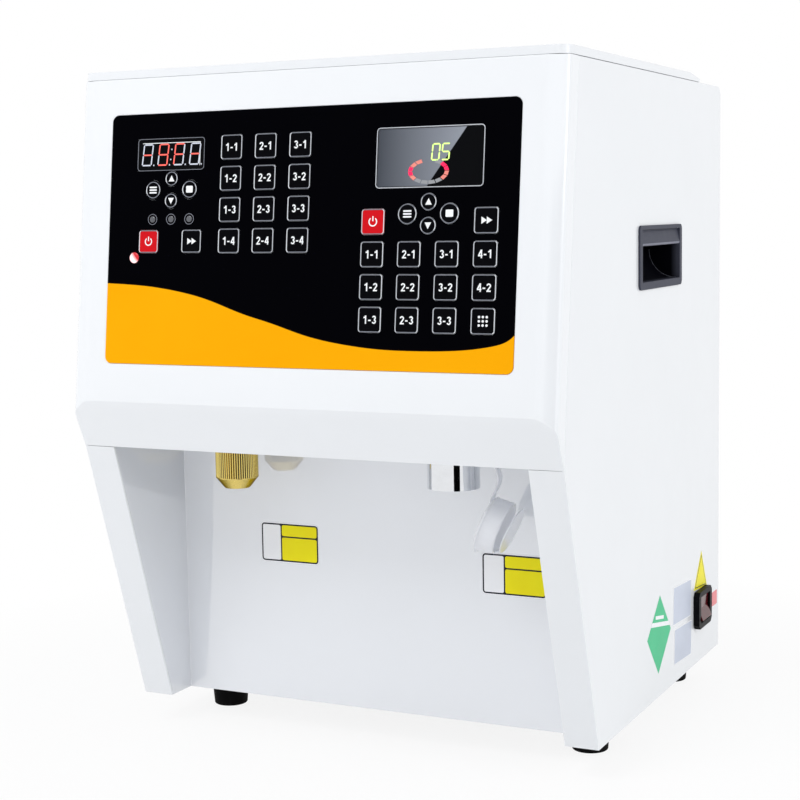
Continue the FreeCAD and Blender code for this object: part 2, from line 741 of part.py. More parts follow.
def makeFascia():
    body = newBody("front_fascia")
    outline = sketchOn(body, "FasciaSide", "YZ_Plane")
    polygon(outline, [("faceTopY", "topZ"), ("faceFootY", "chinBottomZ"),
                      ("chinBackY", "chinBottomZ"), ("seamTopY", "topZ")])
    pad(body, outline, "cabinetWidth", "Symmetric")
    hollow = sketchOn(body, "FasciaHollow", "YZ_Plane")
    roof = "topZ - fasciaWall"
    turnZ = ("creaseZ + fasciaWall * (1 / cos(chinLean) - 1 / cos(faceLean))"
             " / (tan(faceLean) + tan(chinLean))")
    frontY = "creaseY + tan(faceLean) * ((%s) - creaseZ) + fasciaWall / cos(faceLean)"
    polygon(hollow, [(frontY % roof, roof), (frontY % turnZ, turnZ),
                     ("chinBackY + fasciaWall / cos(chinLean)", "chinBottomZ"),
                     ("chinBackY + cutMargin", "chinBottomZ"),
                     ("seamTopY + cutMargin", roof)])
    shell = pocket(body, hollow, "cabinetWidth - 2 * fasciaWall")
    lean = math.radians(value("faceLean"))
    rise = (0, math.sin(lean), math.cos(lean))
    middle = value("faceFootY + seamSetback / 2")
    foot = value("chinBottomZ")

    def isFront(spot):
        return spot.y < middle + math.tan(lean) * (spot.z - foot)

    inside = edgesAlong(shell, rise,
                        lambda p: near(abs(p.x), "halfWidth - fasciaWall") and isFront(p))
    fillet(body, shell, inside, "fasciaInnerRadius")
    # each front corner is a slanting cut with both of its edges rounded, wider than it is deep
    slants = sketchOn(body, "CornerCuts", "XY_Plane", "chinBottomZ")
    front = "faceFootY - fasciaBevelDrop / 2"
    back = "faceFootY + 3 * fasciaBevelDrop / 2"
    inset = "(halfWidth - 3 * fasciaBevelRun / 2)"
    beyond = "(halfWidth + fasciaBevelRun / 2)"
    polygon(slants, [(inset, front), (beyond, front), (beyond, back)])
    polygon(slants, [("0 - " + beyond, back), ("0 - " + beyond, front), ("0 - " + inset, front)])
    bevel = pocket(body, slants, leaning=True)
    outer = edgesAlong(bevel, rise, lambda p: near(abs(p.x), "halfWidth") and isFront(p))
    side = fillet(body, bevel, outer, "fasciaSideRadius")
    edge = edgesAlong(side, rise, lambda p: near(abs(p.x), "halfWidth - fasciaBevelRun"))
    fillet(body, side, edge, "fasciaFrontRadius")
    wedge = sketchOn(body, "ChinCut", "YZ_Plane")
    below = "chinBottomZ - cutMargin"
    ahead = "creaseY - cutMargin"
    polygon(wedge, [("creaseY", "creaseZ"), ("chinBackY", "chinBottomZ"), ("chinBackY", below),
                    (ahead, below), (ahead, "creaseZ")])
    pocket(body, wedge)
    seat = sketchOn(body, "OverlaySeat", "YZ_Plane")
    high = "overlayTop - overlayGap"
    low = "overlayTop + overlayHeight + overlayGap"
    polygon(seat, [facePoint(high, "fasciaWall"), facePoint(low, "fasciaWall"),
                   facePoint(low, "0 - overlaySeat"), facePoint(high, "0 - overlaySeat")])
    cut = pocket(body, seat, "overlayWidth + 2 * overlayGap")
    way = (0, -math.cos(lean), math.sin(lean))
    edges = edgesAlong(cut, way, lambda p: near(abs(p.x), "overlayWidth / 2 + overlayGap"))
    fillet(body, cut, edges, "overlayCorner + overlayGap")
    faceWindow(body, "LedWindow", "ledAcross", "ledDown", "ledWidth", "ledHeight")
    faceWindow(body, "LcdWindow", "lcdAcross", "lcdDown", "lcdWidth", "lcdHeight")


def placeOnFace(body, across, down, out):
    # local X runs right, local Y runs up the face, and local Z points out of it
    y, z = facePoint(down, out)
    place(body, across, y, z, (1, 0, 0), "90 - faceLean")


def gridKeys():
    # name, place across, place down, and the size or radius of every key
    keys = []
    for column in range(3):
        for row in range(4):
            keys.append(("press_left_%d_%d" % (column + 1, row + 1),
                         "leftGridAcross + %d * keyPitchAcross" % column,
                         "leftGridDown + %d * keyPitchDown" % row, "keySize", False))
    for column in range(4):
        for row in range(3):
            name = "press_right_%d_%d" % (column + 1, row + 1)
            if (column, row) == (3, 2):
                name = "press_right_clear"
            keys.append((name, "rightGridAcross + %d * keyPitchAcross" % column,
                         "rightGridDown + %d * keyPitchDown" % row, "keySize", False))
    lowest = "leftGridDown + 3 * keyPitchDown"
    keys.append(("press_left_power", "leftPowerAcross", lowest, "smallKeySize", False))
    keys.append(("press_left_run", "leftRunAcross", lowest, "smallKeySize", False))
    keys.append(("press_right_power", "rightGridAcross", "rightPowerDown", "keySize", False))
    keys.append(("press_right_run", "rightGridAcross + 3 * keyPitchAcross", "rightPowerDown",
                 "keySize", False))
    for side in ("left", "right"):
        across = side + "DialAcross"
        down = side + "DialDown"
        keys.append(("press_%s_set" % side, across + " - setKeySpread", down,
                     "setKeyRadius", True))
        keys.append(("press_%s_save" % side, across + " + setKeySpread", down,
                     "setKeyRadius", True))
        keys.append(("press_%s_up" % side, across, down + " - arrowKeySpread",
                     "arrowKeyRadius", True))
        keys.append(("press_%s_down" % side, across, down + " + arrowKeySpread",
                     "arrowKeyRadius", True))
    return keys


def keyOutline(sketch, x, y, size, isRound, gap="0"):
    if isRound:
        ring(sketch, x, y, "%s + %s" % (size, gap), int(value("roundKeySides")))
    else:
        bevelled(sketch, x, y, "%s + 2 * %s" % (size, gap), "keyCorner")


def makeOverlay():
    body = newBody("keypad_overlay")
    placeOnFace(body, "0", "0", "0 - overlaySeat")
    film = sketchOn(body, "OverlayFilm", "XY_Plane")
    rectangle(film, "0", "0 - overlayTop - overlayHeight / 2", "overlayWidth", "overlayHeight")
    plate = pad(body, film, "overlayThickness")
    fillet(body, plate, edgesAlong(plate, (0, 0, 1)), "overlayCorner")
    columns = {}
    for key in gridKeys():
        columns.setdefault(round(value(key[1])), []).append(key)
    for column in columns.values():
        openings = sketchOn(body, "KeyOpenings", "XY_Plane")
        for name, across, down, size, isRound in column:
            keyOutline(openings, across, "0 - (%s)" % down, size, isRound, "keyGap")
        pocket(body, openings, "3 * overlayThickness")
    windows = sketchOn(body, "DisplayWindows", "XY_Plane")
    rectangle(windows, "ledAcross", "0 - ledDown", "ledWidth", "ledHeight")
    rectangle(windows, "lcdAcross", "0 - lcdDown", "lcdWidth", "lcdHeight")
    pocket(body, windows)


def makeKeys():
    for name, across, down, size, isRound in gridKeys():
        body = newBody(name.replace("press_", "key_"))
        placeOnFace(body, across, down, "keyFloat - overlaySeat")
        face = sketchOn(body, "KeyFace", "XY_Plane")
        keyOutline(face, "0", "0", size, isRound)
        pad(body, face, "keyThickness")


def makeBoard():
    body = newBody("display_board")
    placeOnFace(body, "0", "0", "0")
    under = "0 - fasciaWall - boardDistance"
    plate = sketchOn(body, "BoardPlate", "XY_Plane", under)
    rectangle(plate, "0", "0 - boardTop - boardHeight / 2", "boardWidth", "boardHeight")
    pad(body, plate, "boardThickness", "One side", True)
    for name in ("led", "lcd"):
        module = sketchOn(body, "DisplayModule", "XY_Plane", under)
        rectangle(module, name + "Across", "0 - %sDown" % name,
                  name + "Width - 2 * displayGap", name + "Height - 2 * displayGap")
        pad(body, module, "boardDistance + fasciaWall + overlayFace - displaySink")
    posts = sketchOn(body, "BoardPosts", "XY_Plane", under)
    for x in ("boardWidth / 2 - postInset", "postInset - boardWidth / 2"):
        for y in ("0 - boardTop - postInset", "postInset - boardTop - boardHeight"):
            rectangle(posts, x, y, "postWidth", "postWidth")
    pad(body, posts, "boardDistance")


def vesselPlan(body, name, height, inset="0"):
    sketch = sketchOn(body, name, "XY_Plane", height)
    sign = "-" if body.Label == "syrup_tank" else ""
    near = "%s1 * (vesselMiddle + (%s))" % (sign, inset)
    far = "%s1 * (vesselOuter - (%s))" % (sign, inset)
    left, right = (far, near) if sign else (near, far)
    corners(sketch, left, "vesselFrontY + (%s)" % inset, right, "vesselRearY - (%s)" % inset)
    return sketch


def makeTank():
    body = newBody("syrup_tank")
    pad(body, vesselPlan(body, "TankOuter", "tankBottomZ"), "rimTopZ - tankBottomZ")
    rim = vesselPlan(body, "TankRim", "rimTopZ - rimThickness", "0 - rimWidth")
    pad(body, rim, "rimThickness")
    spigot = sketchOn(body, "TankSpigot", "XY_Plane", "tankBottomZ")
    ring(spigot, "spigotAcross", "spigotBack", "spigotRadius")
    pad(body, spigot, "spigotLength", "One side", True)
    well = vesselPlan(body, "TankWell", "tankBottomZ + vesselWall", "vesselWall")
    shape = pocket(body, well, "rimTopZ - tankBottomZ", "One side", True)
    # the upright corners are rounded from the well outwards
    for away in ("vesselWall", "0", "0 - rimWidth"):
        edges = edgesAlong(shape, (0, 0, 1), lambda p: near(
            abs(p.x), "vesselMiddle + (%s)" % away, "vesselOuter - (%s)" % away))
        shape = fillet(body, shape, edges, "vesselCorner - (%s)" % away)
    bore = sketchOn(body, "TankBore", "XY_Plane", "tankBottomZ + vesselWall + cutMargin")
    ring(bore, "spigotAcross", "spigotBack", "spigotBore")
    pocket(body, bore, "vesselWall + spigotLength + 2 * cutMargin", "One side")


def hopperForm(body, inset, low, high):
    # the box of the hopper, which narrows below its shoulder to the width of the auger's tube
    front = sketchOn(body, "HopperFront", "XZ_Plane", "(%s) - vesselRearY" % inset)
    polygon(front, [("vesselMiddle + %s" % inset, high), ("vesselMiddle + %s" % inset, "shoulderZ"),
                    ("troughLeftX + %s" % inset, low), ("troughRightX - %s" % inset, low),
                    ("vesselOuter - %s" % inset, "shoulderZ"),
                    ("vesselOuter - %s" % inset, high)])
    pad(body, front, "vesselDepth - 2 * (%s)" % inset)
    slope = sketchOn(body, "HopperSlope", "YZ_Plane")
    ahead = "vesselFrontY - cutMargin"
    below = low + " - cutMargin"
    polygon(slope, [(ahead, "shoulderZ"), ("vesselFrontY + %s" % inset, "shoulderZ"),
                    ("%s - troughFront" % inset, low), ("%s - troughFront" % inset, below),
                    (ahead, below)])
    pocket(body, slope)


def makeHopper():
    shell = doc.addObject("PartDesign::Body", "HopperShell")
    hopperForm(shell, "0", "augerZ", "rimTopZ")
    rim = sketchOn(shell, "HopperRim", "XY_Plane", "rimTopZ - rimThickness")
    corners(rim, "vesselMiddle - rimWidth", "vesselFrontY - rimWidth",
            "vesselOuter + rimWidth", "vesselRearY + rimWidth")
    pad(shell, rim, "rimThickness")
    tube = sketchOn(shell, "AugerTube", "XZ_Plane", "0 - vesselRearY")
    circle(tube, "spoutAcross", "augerZ", "tubeOuter")
    pad(shell, tube, "vesselRearY - tubeFrontY")
    drop = sketchOn(shell, "DropTube", "XY_Plane", "augerZ")
    circle(drop, "spoutAcross", "outletY", "dropTubeRadius")
    pad(shell, drop, "augerZ - ceilingZ - sheetThickness + dropTubeReach", "One side", True)
    for x in ("axleRightX", "axleLeftX"):
        boss = sketchOn(shell, "AxleBoss", "YZ_Plane", x)
        rectangle(boss, "wheelY", "wheelZ", "2 * bossRadius", "2 * bossRadius")
        pad(shell, boss, "bossLength", "Symmetric")
    hollow = doc.addObject("PartDesign::Body", "HopperHollow")
    hopperForm(hollow, "vesselWall", "augerZ", "rimTopZ + cutMargin")
    bore = sketchOn(hollow, "TubeBore", "XZ_Plane", "tubeWall - vesselRearY")
    circle(bore, "spoutAcross", "augerZ", "tubeBore")
    pad(hollow, bore, "vesselRearY - tubeFrontY - 2 * tubeWall")
    hole = sketchOn(hollow, "ShaftHole", "XZ_Plane", "0 - vesselRearY - cutMargin")
    circle(hole, "spoutAcross", "augerZ", "augerShaftRadius + seatGap")
    pad(hollow, hole, "tubeWall + 2 * cutMargin")
    fall = sketchOn(hollow, "DropBore", "XY_Plane", "augerZ")
    circle(fall, "spoutAcross", "outletY", "dropTubeBore")
    pad(hollow, fall, "augerZ - ceilingZ + dropTubeReach + cutMargin", "One side", True)
    axle = sketchOn(hollow, "AxleBore", "YZ_Plane", "axleLeftX - seatGap")
    circle(axle, "wheelY", "wheelZ", "axleRadius + shaftPlay")
    pad(hollow, axle, "axleRightX - axleLeftX + 2 * seatGap")
    hopper = doc.addObject("Part::Cut", "Hopper")
    hopper.Base = shell
    hopper.Tool = hollow
    keep(hopper, "powder_hopper")


def makeAuger():
    # the flight winds round the shaft as a right-handed helix with flat-sided turns
    sides = int(value("augerSides"))
    steps = round(value("augerTurns") * sides)
    rise = value("augerPitch") / sides
    half = value("bladeThickness") / 2
    edges = (value("augerShaftRadius - flightRoot"), value("augerRadius"))

    def spot(radius, step, height):
        turn = 2 * math.pi * step / sides
        return FreeCAD.Vector(radius * math.cos(turn), radius * math.sin(turn),
                              rise * step + height)

    def facet(*spots):
        return Part.Face(Part.makePolygon(spots + spots[:1]))

    inner, outer = edges
    faces = []
    for step in range(steps):
        for side in (-half, half):
            near, far = spot(inner, step, side), spot(outer, step + 1, side)
            faces.append(facet(near, spot(outer, step, side), far))
            faces.append(facet(near, far, spot(inner, step + 1, side)))
        for radius in edges:
            faces.append(facet(spot(radius, step, -half), spot(radius, step + 1, -half),
                               spot(radius, step + 1, half), spot(radius, step, half)))
    for step in (0, steps):
        faces.append(facet(spot(inner, step, -half), spot(outer, step, -half),
                           spot(outer, step, half), spot(inner, step, half)))
    flight = doc.addObject("Part::Feature", "AugerFlight")
    flight.Shape = Part.makeSolid(Part.makeShell(faces))
    shaft = doc.addObject("Part::Prism", "AugerShaft")
    shaft.Polygon = sides
    bind(shaft, "Circumradius", "augerShaftRadius")
    bind(shaft, "Height", "gearboxY + shaftEntry - seatGap - augerStartY + bladeThickness")
    bind(shaft, "Placement.Base.z", "0 - bladeThickness")
    auger = doc.addObject("Part::Fuse", "Auger")
    auger.Base = flight
    auger.Tool = shaft
    place(auger, "spoutAcross", "augerStartY", "augerZ", (-1, 0, 0), "90")
    keep(auger, "powder_auger")


def makeWheel():
    body = newBody("hopper_agitator")
    place(body, "spoutAcross", "wheelY", "wheelZ")
    axle = sketchOn(body, "WheelAxle", "YZ_Plane", "axleLeftX - spoutAcross")
    circle(axle, "0", "0", "axleRadius")
    pad(body, axle, "axleRightX - axleLeftX")
    hub = sketchOn(body, "WheelHub", "YZ_Plane")
    ring(hub, "0", "0", "wheelHubRadius")
    pad(body, hub, "hubLength", "Symmetric")
    finger = sketchOn(body, "WheelFinger", "YZ_Plane")
    polygon(finger, [("0 - fingerWidth / 2", "0"), ("0 - fingerTipWidth / 2", "0 - wheelRadius"),
                     ("fingerTipWidth / 2", "0 - wheelRadius"), ("fingerWidth / 2", "0")])
    one = pad(body, finger, "wheelThickness", "Symmetric")
    fingers = body.newObject("PartDesign::PolarPattern", "WheelFingers")
    fingers.Originals = [one]
    fingers.Axis = (finger, ["N_Axis"])
    fingers.Angle = 360
    bind(fingers, "Occurrences", "wheelFingers")
    body.Tip = fingers
    doc.recompute()


def makeMotor():
    body = newBody("auger_motor")
    box = sketchOn(body, "GearboxFace", "XZ_Plane", "0 - gearboxY")
    bevelled(box, "spoutAcross", "augerZ", "gearboxWidth", "gearboxCorner")
    pad(body, box, "gearboxLength", "One side", True)
    can = sketchOn(body, "MotorCan", "XZ_Plane", "0 - gearboxY - gearboxLength")
    circle(can, "spoutAcross", "augerZ", "motorRadius")
    pad(body, can, "motorLength", "One side", True)
    bore = sketchOn(body, "GearboxBore", "XZ_Plane", "0 - gearboxY")
    circle(bore, "spoutAcross", "augerZ", "augerShaftRadius + shaftPlay")
    pocket(body, bore, "shaftEntry", "One side")


def makeSpout():
    body = newBody("powder_spout")
    place(body, "spoutAcross", "outletY", "ceilingZ - spoutLength")
    tube = sketchOn(body, "SpoutTube", "XY_Plane")
    circle(tube, "0", "0", "spoutRadius")
    pad(body, tube, "spoutLength + sheetThickness")
    flange = sketchOn(body, "SpoutFlange", "XY_Plane", "spoutLength + sheetThickness")
    bevelled(flange, "0", "0", "spoutFlangeWidth", "spoutFlangeWidth / 6")
    pad(body, flange, "spoutFlangeThickness")
    bore = sketchOn(body, "SpoutBore", "XY_Plane")
    circle(bore, "0", "0", "spoutBore")
    pocket(body, bore)


def makeNozzle():
    body = newBody("syrup_nozzle")
    place(body, "nozzleAcross", "outletY", "ceilingZ - nozzleLength")
    wall = sketchOn(body, "NozzleWall", "XZ_Plane")
    under = "nozzleLength - seatGap"
    above = "nozzleLength + sheetThickness"
    top = "%s + stemLength" % above
    polygon(wall, [("0", "0"), ("nozzleTipRadius", "0"), ("nozzleRadius", "nozzleTipHeight"),
                   ("nozzleRadius", under), ("0", under)])
    revolve(body, wall)
    stem = sketchOn(body, "NozzleStem", "XY_Plane", under)
    ring(stem, "0", "0", "stemRadius")
    pad(body, stem, "%s - (%s)" % (top, under))
    nut = sketchOn(body, "StemNut", "XY_Plane", above)
    ring(nut, "0", "0", "stemNutRadius", 6)
    pad(body, nut, "stemNutHeight")
    bore = sketchOn(body, "NozzleBore", "XY_Plane")
    circle(bore, "0", "0", "nozzleBore")
    pocket(body, bore)
    groove = sketchOn(body, "KnurlGroove", "XY_Plane", "nozzleTipHeight + knurlStart")
    wide = "nozzleRadius * sin(180 / knurlCount) * knurlFill"
    polygon(groove, [("nozzleRadius + knurlStart", wide), ("nozzleRadius - knurlDepth", "0"),
                     ("nozzleRadius + knurlStart", "0 - " + wide)])
    cut = pocket(body, groove, "nozzleLength", "One side", True)
    knurl = body.newObject("PartDesign::PolarPattern", "Knurl")
    knurl.Originals = [cut]
    knurl.Axis = (groove, ["N_Axis"])
    knurl.Angle = 360
    bind(knurl, "Occurrences", "knurlCount")
    body.Tip = knurl
    doc.recompute()


def makePump():
    body = newBody("syrup_pump")
    place(body, "spigotAcross", "pumpBack", "baseZ + sheetThickness")
    can = sketchOn(body, "PumpCan", "XY_Plane")
    circle(can, "0", "0", "pumpBodyRadius")
    pad(body, can, "pumpBodyLength")
    head = sketchOn(body, "PumpHead", "XY_Plane", "pumpBodyLength")
    rectangle(head, "0", "0", "pumpHeadSize", "pumpHeadSize")
    block = pad(body, head, "pumpHeadHeight")
    upright = edgesAlong(block, (0, 0, 1), lambda p: near(abs(p.x), "pumpHeadSize / 2"))
    fillet(body, block, upright, "pumpHeadCorner")
    ports = sketchOn(body, "PumpPorts", "XY_Plane", "pumpBodyLength + pumpHeadHeight")
    ring(ports, "0", "0", "pumpPortRadius")
    ring(ports, "0", "0 - pumpPortSpread", "pumpPortRadius")
    pad(body, ports, "pumpPortLength")


def hosePipe(name, stations):
    # a hose with flat sides along straight runs, mitred where they meet
    sides = int(value("hoseSides"))
    path = Part.makePolygon(stations)
    pipes = []
    for size in ("hoseRadius", "hoseBore"):
        turns = [2 * math.pi * i / sides for i in range(sides)]
        spots = [stations[0] + FreeCAD.Vector(math.cos(turn), math.sin(turn)) * value(size)
                 for turn in turns]
        profile = Part.makePolygon(spots + spots[:1])
        pipes.append(path.makePipeShell([profile], True, False, 1))
    hose = doc.addObject("Part::Feature", name)
    hose.Shape = pipes[0].cut(pipes[1])
    return hose


def makeHoses():
    # a straight drop from the tank to the pump, and a bent rise from the pump to the nozzle
    across = value("spigotAcross")
    portZ = value("pumpTopZ + pumpPortLength")
    spigot = FreeCAD.Vector(across, value("spigotBack"), value("tankBottomZ - spigotLength"))
    inPort = FreeCAD.Vector(across, value("pumpBack"), portZ)
    drop = hosePipe("SupplyHose", [inPort, spigot])
    bend = value("hoseBend")
    steps = int(value("hoseBendSteps"))
    outPort = FreeCAD.Vector(across, value("pumpBack - pumpPortSpread"), portZ)
    end = FreeCAD.Vector(value("nozzleAcross"), value("outletY"), value("nozzleTopZ"))
    up = FreeCAD.Vector(0, 0, 1)
    neck = end + up * value("hoseStub")
    rise = FreeCAD.Vector(outPort.x, outPort.y, neck.z)
    way = (neck - rise).normalize()
    stations = [outPort]
    for i in range(steps + 1):
        turn = math.pi / 2 * i / steps
        stations.append(rise + way * bend * (1 - math.cos(turn)) + up * bend * math.sin(turn))
    for i in range(steps + 1):
        turn = math.pi / 2 * i / steps
        stations.append(neck - way * bend * (1 - math.sin(turn)) + up * bend * math.cos(turn))
    stations.append(end)
    both = doc.addObject("Part::Compound", "SyrupHose")
    both.Links = [drop, hosePipe("DeliveryHose", stations)]
    keep(both, "syrup_hose")


def capPoint(along, away):
    # along runs down the leaning cup from its flange, and away runs across it from its axis
    across = "(%s) + capFlangeRadius" % away
    x = "capShift + cos(capTilt) * (%s) - sin(capTilt) * (%s)" % (along, across)
    z = "0 - capDrop - sin(capTilt) * (%s) - cos(capTilt) * (%s)" % (along, across)
    return x, z


def turnOnCap(body, name, spots):
    # turns a profile about the cup's leaning axis
    sketch = sketchOn(body, name, "XZ_Plane")
    polygon(sketch, [capPoint(along, away) for along, away in spots])
    ends = [capPoint("0", "0"), capPoint("capLength", "0")]
    line = sketch.addGeometry(Part.LineSegment(
        FreeCAD.Vector(value(ends[0][0]), value(ends[0][1]), 0),
        FreeCAD.Vector(value(ends[1][0]), value(ends[1][1]), 0)), True)
    pin(sketch, line, 1, *ends[0])
    pin(sketch, line, 2, *ends[1])
    return revolve(body, sketch, "Axis0")


def makeCap():
    body = newBody("spout_cap")
    place(body, "capAcross", "outletY", "capPivotZ")
    eye = sketchOn(body, "StrapEye", "XZ_Plane")
    circle(eye, "0", "0", "strapEyeRadius")
    pad(body, eye, "strapWidth", "Symmetric")
    strap = sketchOn(body, "Strap", "XZ_Plane")
    half = "strapThickness / 2"
    bulge = "0 - capDrop / 2"
    foot = capPoint("capWall / 2", "capWall - capFlangeRadius")
    polygon(strap, [("0 - " + half, "0"), ("strapBulge - " + half, bulge),
                    ("(%s) - %s" % (foot[0], half), foot[1]),
                    ("(%s) + %s" % (foot[0], half), foot[1]),
                    ("strapBulge + " + half, bulge), (half, "0")])
    pad(body, strap, "strapWidth", "Symmetric")
    rim = "0 - capFlangeRadius"
    wall = "0 - capRadius"
    turnOnCap(body, "CupWall", [
        ("0", "0"), ("0", rim), ("capWall", rim), ("capWall", wall), ("capLength", wall),
        ("capLength", wall + " + capWall"), ("capWall", wall + " + capWall"),
        ("capWall", "0")])
    # the pull tab is a thin leaf that stands off the mouth of the cup on a neck
    turnOnCap(body, "PullTab", [
        ("tabDistance", "0"), ("tabDistance", "0 - tabRadius"),
        ("tabDistance + tabThickness", "0 - tabRadius"), ("tabDistance + tabThickness", "0")])
    neck = sketchOn(body, "TabNeck", "XZ_Plane")
    root = "capLength - capWall"
    tip = "tabDistance + tabThickness / 2"
    polygon(neck, [capPoint(root, "capRadius - tabNeckBite"),
                   capPoint(root, "capRadius - capWall + tabNeckBite"),
                   capPoint(tip, "tabRadius - tabNeckInset"),
                   capPoint(tip, "tabRadius - 4 * tabNeckBite")])
    pad(body, neck, "tabNeckWidth", "Symmetric")


def makeHandles():
    # one moulding is drawn for the right side, and its mirror image serves the left side
    body = doc.addObject("PartDesign::Body", "RightHandle")
    place(body, "halfWidth", "handleBack", "handleZ")
    flange = sketchOn(body, "HandleFlange", "YZ_Plane", "seatGap / 3")
    rectangle(flange, "0", "0", "handleLength", "handleTall")
    plate = pad(body, flange, "handleFlange")
    fillet(body, plate, edgesAlong(plate, (1, 0, 0)), "handleCorner")
    box = sketchOn(body, "HandleBox", "YZ_Plane", "seatGap / 3")
    rectangle(box, "0", "0", "handleLength - 2 * handleRim - 2 * seatGap",
              "handleTall - 2 * handleRim - 2 * seatGap")
    pad(body, box, "handleDepth", "One side", True)
    scoop = sketchOn(body, "HandleScoop", "XZ_Plane")
    out = "handleFlange + cutMargin"
    top = "handleTall / 2 - handleRim"
    low = "handleRim - handleTall / 2 + handleWall"
    back = "handleWall - handleDepth"
    lip = "%s - hoodDrop" % top
    spots = [(out, top), ("0", top), ("0 - hoodReach", lip),
             ("0 - hoodReach - handleWall", lip),
             ("0 - hoodReach - handleWall", top + " - handleWall"),
             (back, top + " - handleWall")]
    # the back wall runs down into the lower lip in one quarter round
    steps = int(value("scoopSteps"))
    for i in range(steps + 1):
        turn = 90 * i / steps
        spots.append(("%s + scoopRadius * (1 - cos(%s))" % (back, turn),
                      "%s + scoopRadius * (1 - sin(%s))" % (low, turn)))
    polygon(scoop, spots + [(out, low)])
    pocket(body, scoop, "handleLength - 4 * handleRim")
    mirror = doc.addObject("Part::Mirroring", "LeftHandle")
    mirror.Source = body
    mirror.Normal = FreeCAD.Vector(1, 0, 0)
    pair = doc.addObject("Part::Compound", "Handles")
    pair.Links = [body, mirror]
    keep(pair, "side_handles")


def makeSwitch():
    body = newBody("switch_bezel")
    place(body, "halfWidth", "switchBack", "switchZ")
    rim = sketchOn(body, "SwitchRim", "YZ_Plane", "seatGap / 3")
    rectangle(rim, "0", "0", "switchLong", "switchTall")
    plate = pad(body, rim, "switchProud")
    chamfer(body, plate, edgesAlong(plate, (1, 0, 0)), "switchChamfer")
    box = sketchOn(body, "SwitchBox", "YZ_Plane", "seatGap / 3")
    rectangle(box, "0", "0", "switchLong - 2 * switchChamfer - 2 * seatGap",
              "switchTall - switchChamfer - 2 * seatGap")
    pad(body, box, "switchBodyDepth", "One side", True)
    well = sketchOn(body, "SwitchWell", "YZ_Plane", "switchProud + seatGap")
    rectangle(well, "0", "0", "rockerLong + 2 * rockerGap", "rockerTall + 2 * rockerGap")
    pocket(body, well, "switchProud + rockerDepth + rockerFoot", "One side")
    for way in (False, True):
        stub = sketchOn(body, "SwitchPin", "XZ_Plane",
                        "%s(rockerLong / 2 + rockerGap)" % ("" if way else "0 - "))
        circle(stub, "0", "0", "rockerPinRadius")
        pad(body, stub, "rockerPinLength", "One side", way)
    rocker = newBody("power_rocker")
    place(rocker, "halfWidth", "switchBack", "switchZ", (0, 1, 0), "0 - rockerTilt")
    cheek = sketchOn(rocker, "RockerSide", "XZ_Plane")
    half = "rockerTall / 2"
    under = "0 - rockerDepth / 2"
    ridge = "rockerRise + rockerRidge"
    high = half + " - rockerShoulder"
    low = "0 - (%s)" % high
    polygon(cheek, [(under, "0 - rockerFoot"), ("rockerRise", low), (ridge, low),
                    ("rockerRise", "0"), (ridge, high), ("rockerRise", high),
                    (under, "rockerFoot")])
    pad(rocker, cheek, "rockerLong", "Symmetric")
    bore = sketchOn(rocker, "RockerBore", "XZ_Plane")
    circle(bore, "0", "0", "rockerPinRadius + shaftPlay")
    pocket(rocker, bore)


def makeInlet():
    body = newBody("power_inlet")
    place(body, "inletAcross", "rearY", "inletZ")
    flange = sketchOn(body, "InletFlange", "XZ_Plane")
    rectangle(flange, "0", "0", "inletWidth", "inletTall")
    plate = pad(body, flange, "inletFlange", "One side", True)
    fillet(body, plate, edgesAlong(plate, (0, 1, 0)), "inletCorner")
    box = sketchOn(body, "InletBox", "XZ_Plane")
    rectangle(box, "0", "0", "inletBodyWidth", "inletBodyTall")
    pad(body, box, "inletDepth")
    socket = sketchOn(body, "InletSocket", "XZ_Plane", "0 - inletFlange")
    rectangle(socket, "0", "0", "inletBodyWidth - 2 * inletWall",
              "inletBodyTall - 2 * inletWall")
    pocket(body, socket, "inletFlange + inletDepth - inletFloor", "One side", True)
    blades = sketchOn(body, "InletBlades", "XZ_Plane", "inletDepth - inletFloor / 2")
    rectangle(blades, "0", "inletEarthRise", "inletBladeWidth", "inletBladeTall")
    for x in ("inletPinSpread", "0 - inletPinSpread"):
        rectangle(blades, x, "0 - inletPinDrop", "inletBladeWidth", "inletBladeTall")
    pad(body, blades, "inletDepth - 3 * inletFloor / 2", "One side", True)


def makeFeet():
    feet = []
    for x in ("halfWidth - footSideInset", "footSideInset - halfWidth"):
        for y in ("creaseY + footFrontSetback", "rearY - footRearInset"):
            body = doc.addObject("PartDesign::Body", "Foot")
            place(body, x, y, "0")
            sole = sketchOn(body, "FootSole", "XY_Plane")
            ring(sole, "0", "0", "footBottomRadius", int(value("footSides")))
            foot = pad(body, sole, "footHeight")
            bind(foot, "TaperAngle", "atan((footTopRadius - footBottomRadius) / footHeight)")
            feet.append(body)
    doc.recompute()
    group = doc.addObject("Part::Compound", "Feet")
    group.Links = feet
    keep(group, "rubber_feet")


def makeScrews():
    screws = []
    for z in screwSpots():
        for sign in ("", "0 - "):
            x = sign + "(innerHalf - rearFlangeWidth / 2)"
            pieces = []
            for name, start, height in (("Head", "rearY + screwHeadHeight", "screwHeadHeight"),
                                        ("Shank", "rearY", "screwLength")):
                prism = doc.addObject("Part::Prism", "Screw" + name)
                prism.Polygon = 6
                bind(prism, "Circumradius", "screwHeadRadius" if name == "Head"
                     else "screwRadius")
                bind(prism, "Height", height)
                place(prism, x, start, z, (1, 0, 0), "90")
                pieces.append(prism)
            screw = doc.addObject("Part::Fuse", "Screw")
            screw.Base, screw.Tool = pieces
            screws.append(screw)
    group = doc.addObject("Part::Compound", "Screws")
    group.Links = screws
    keep(group, "rear_screws")


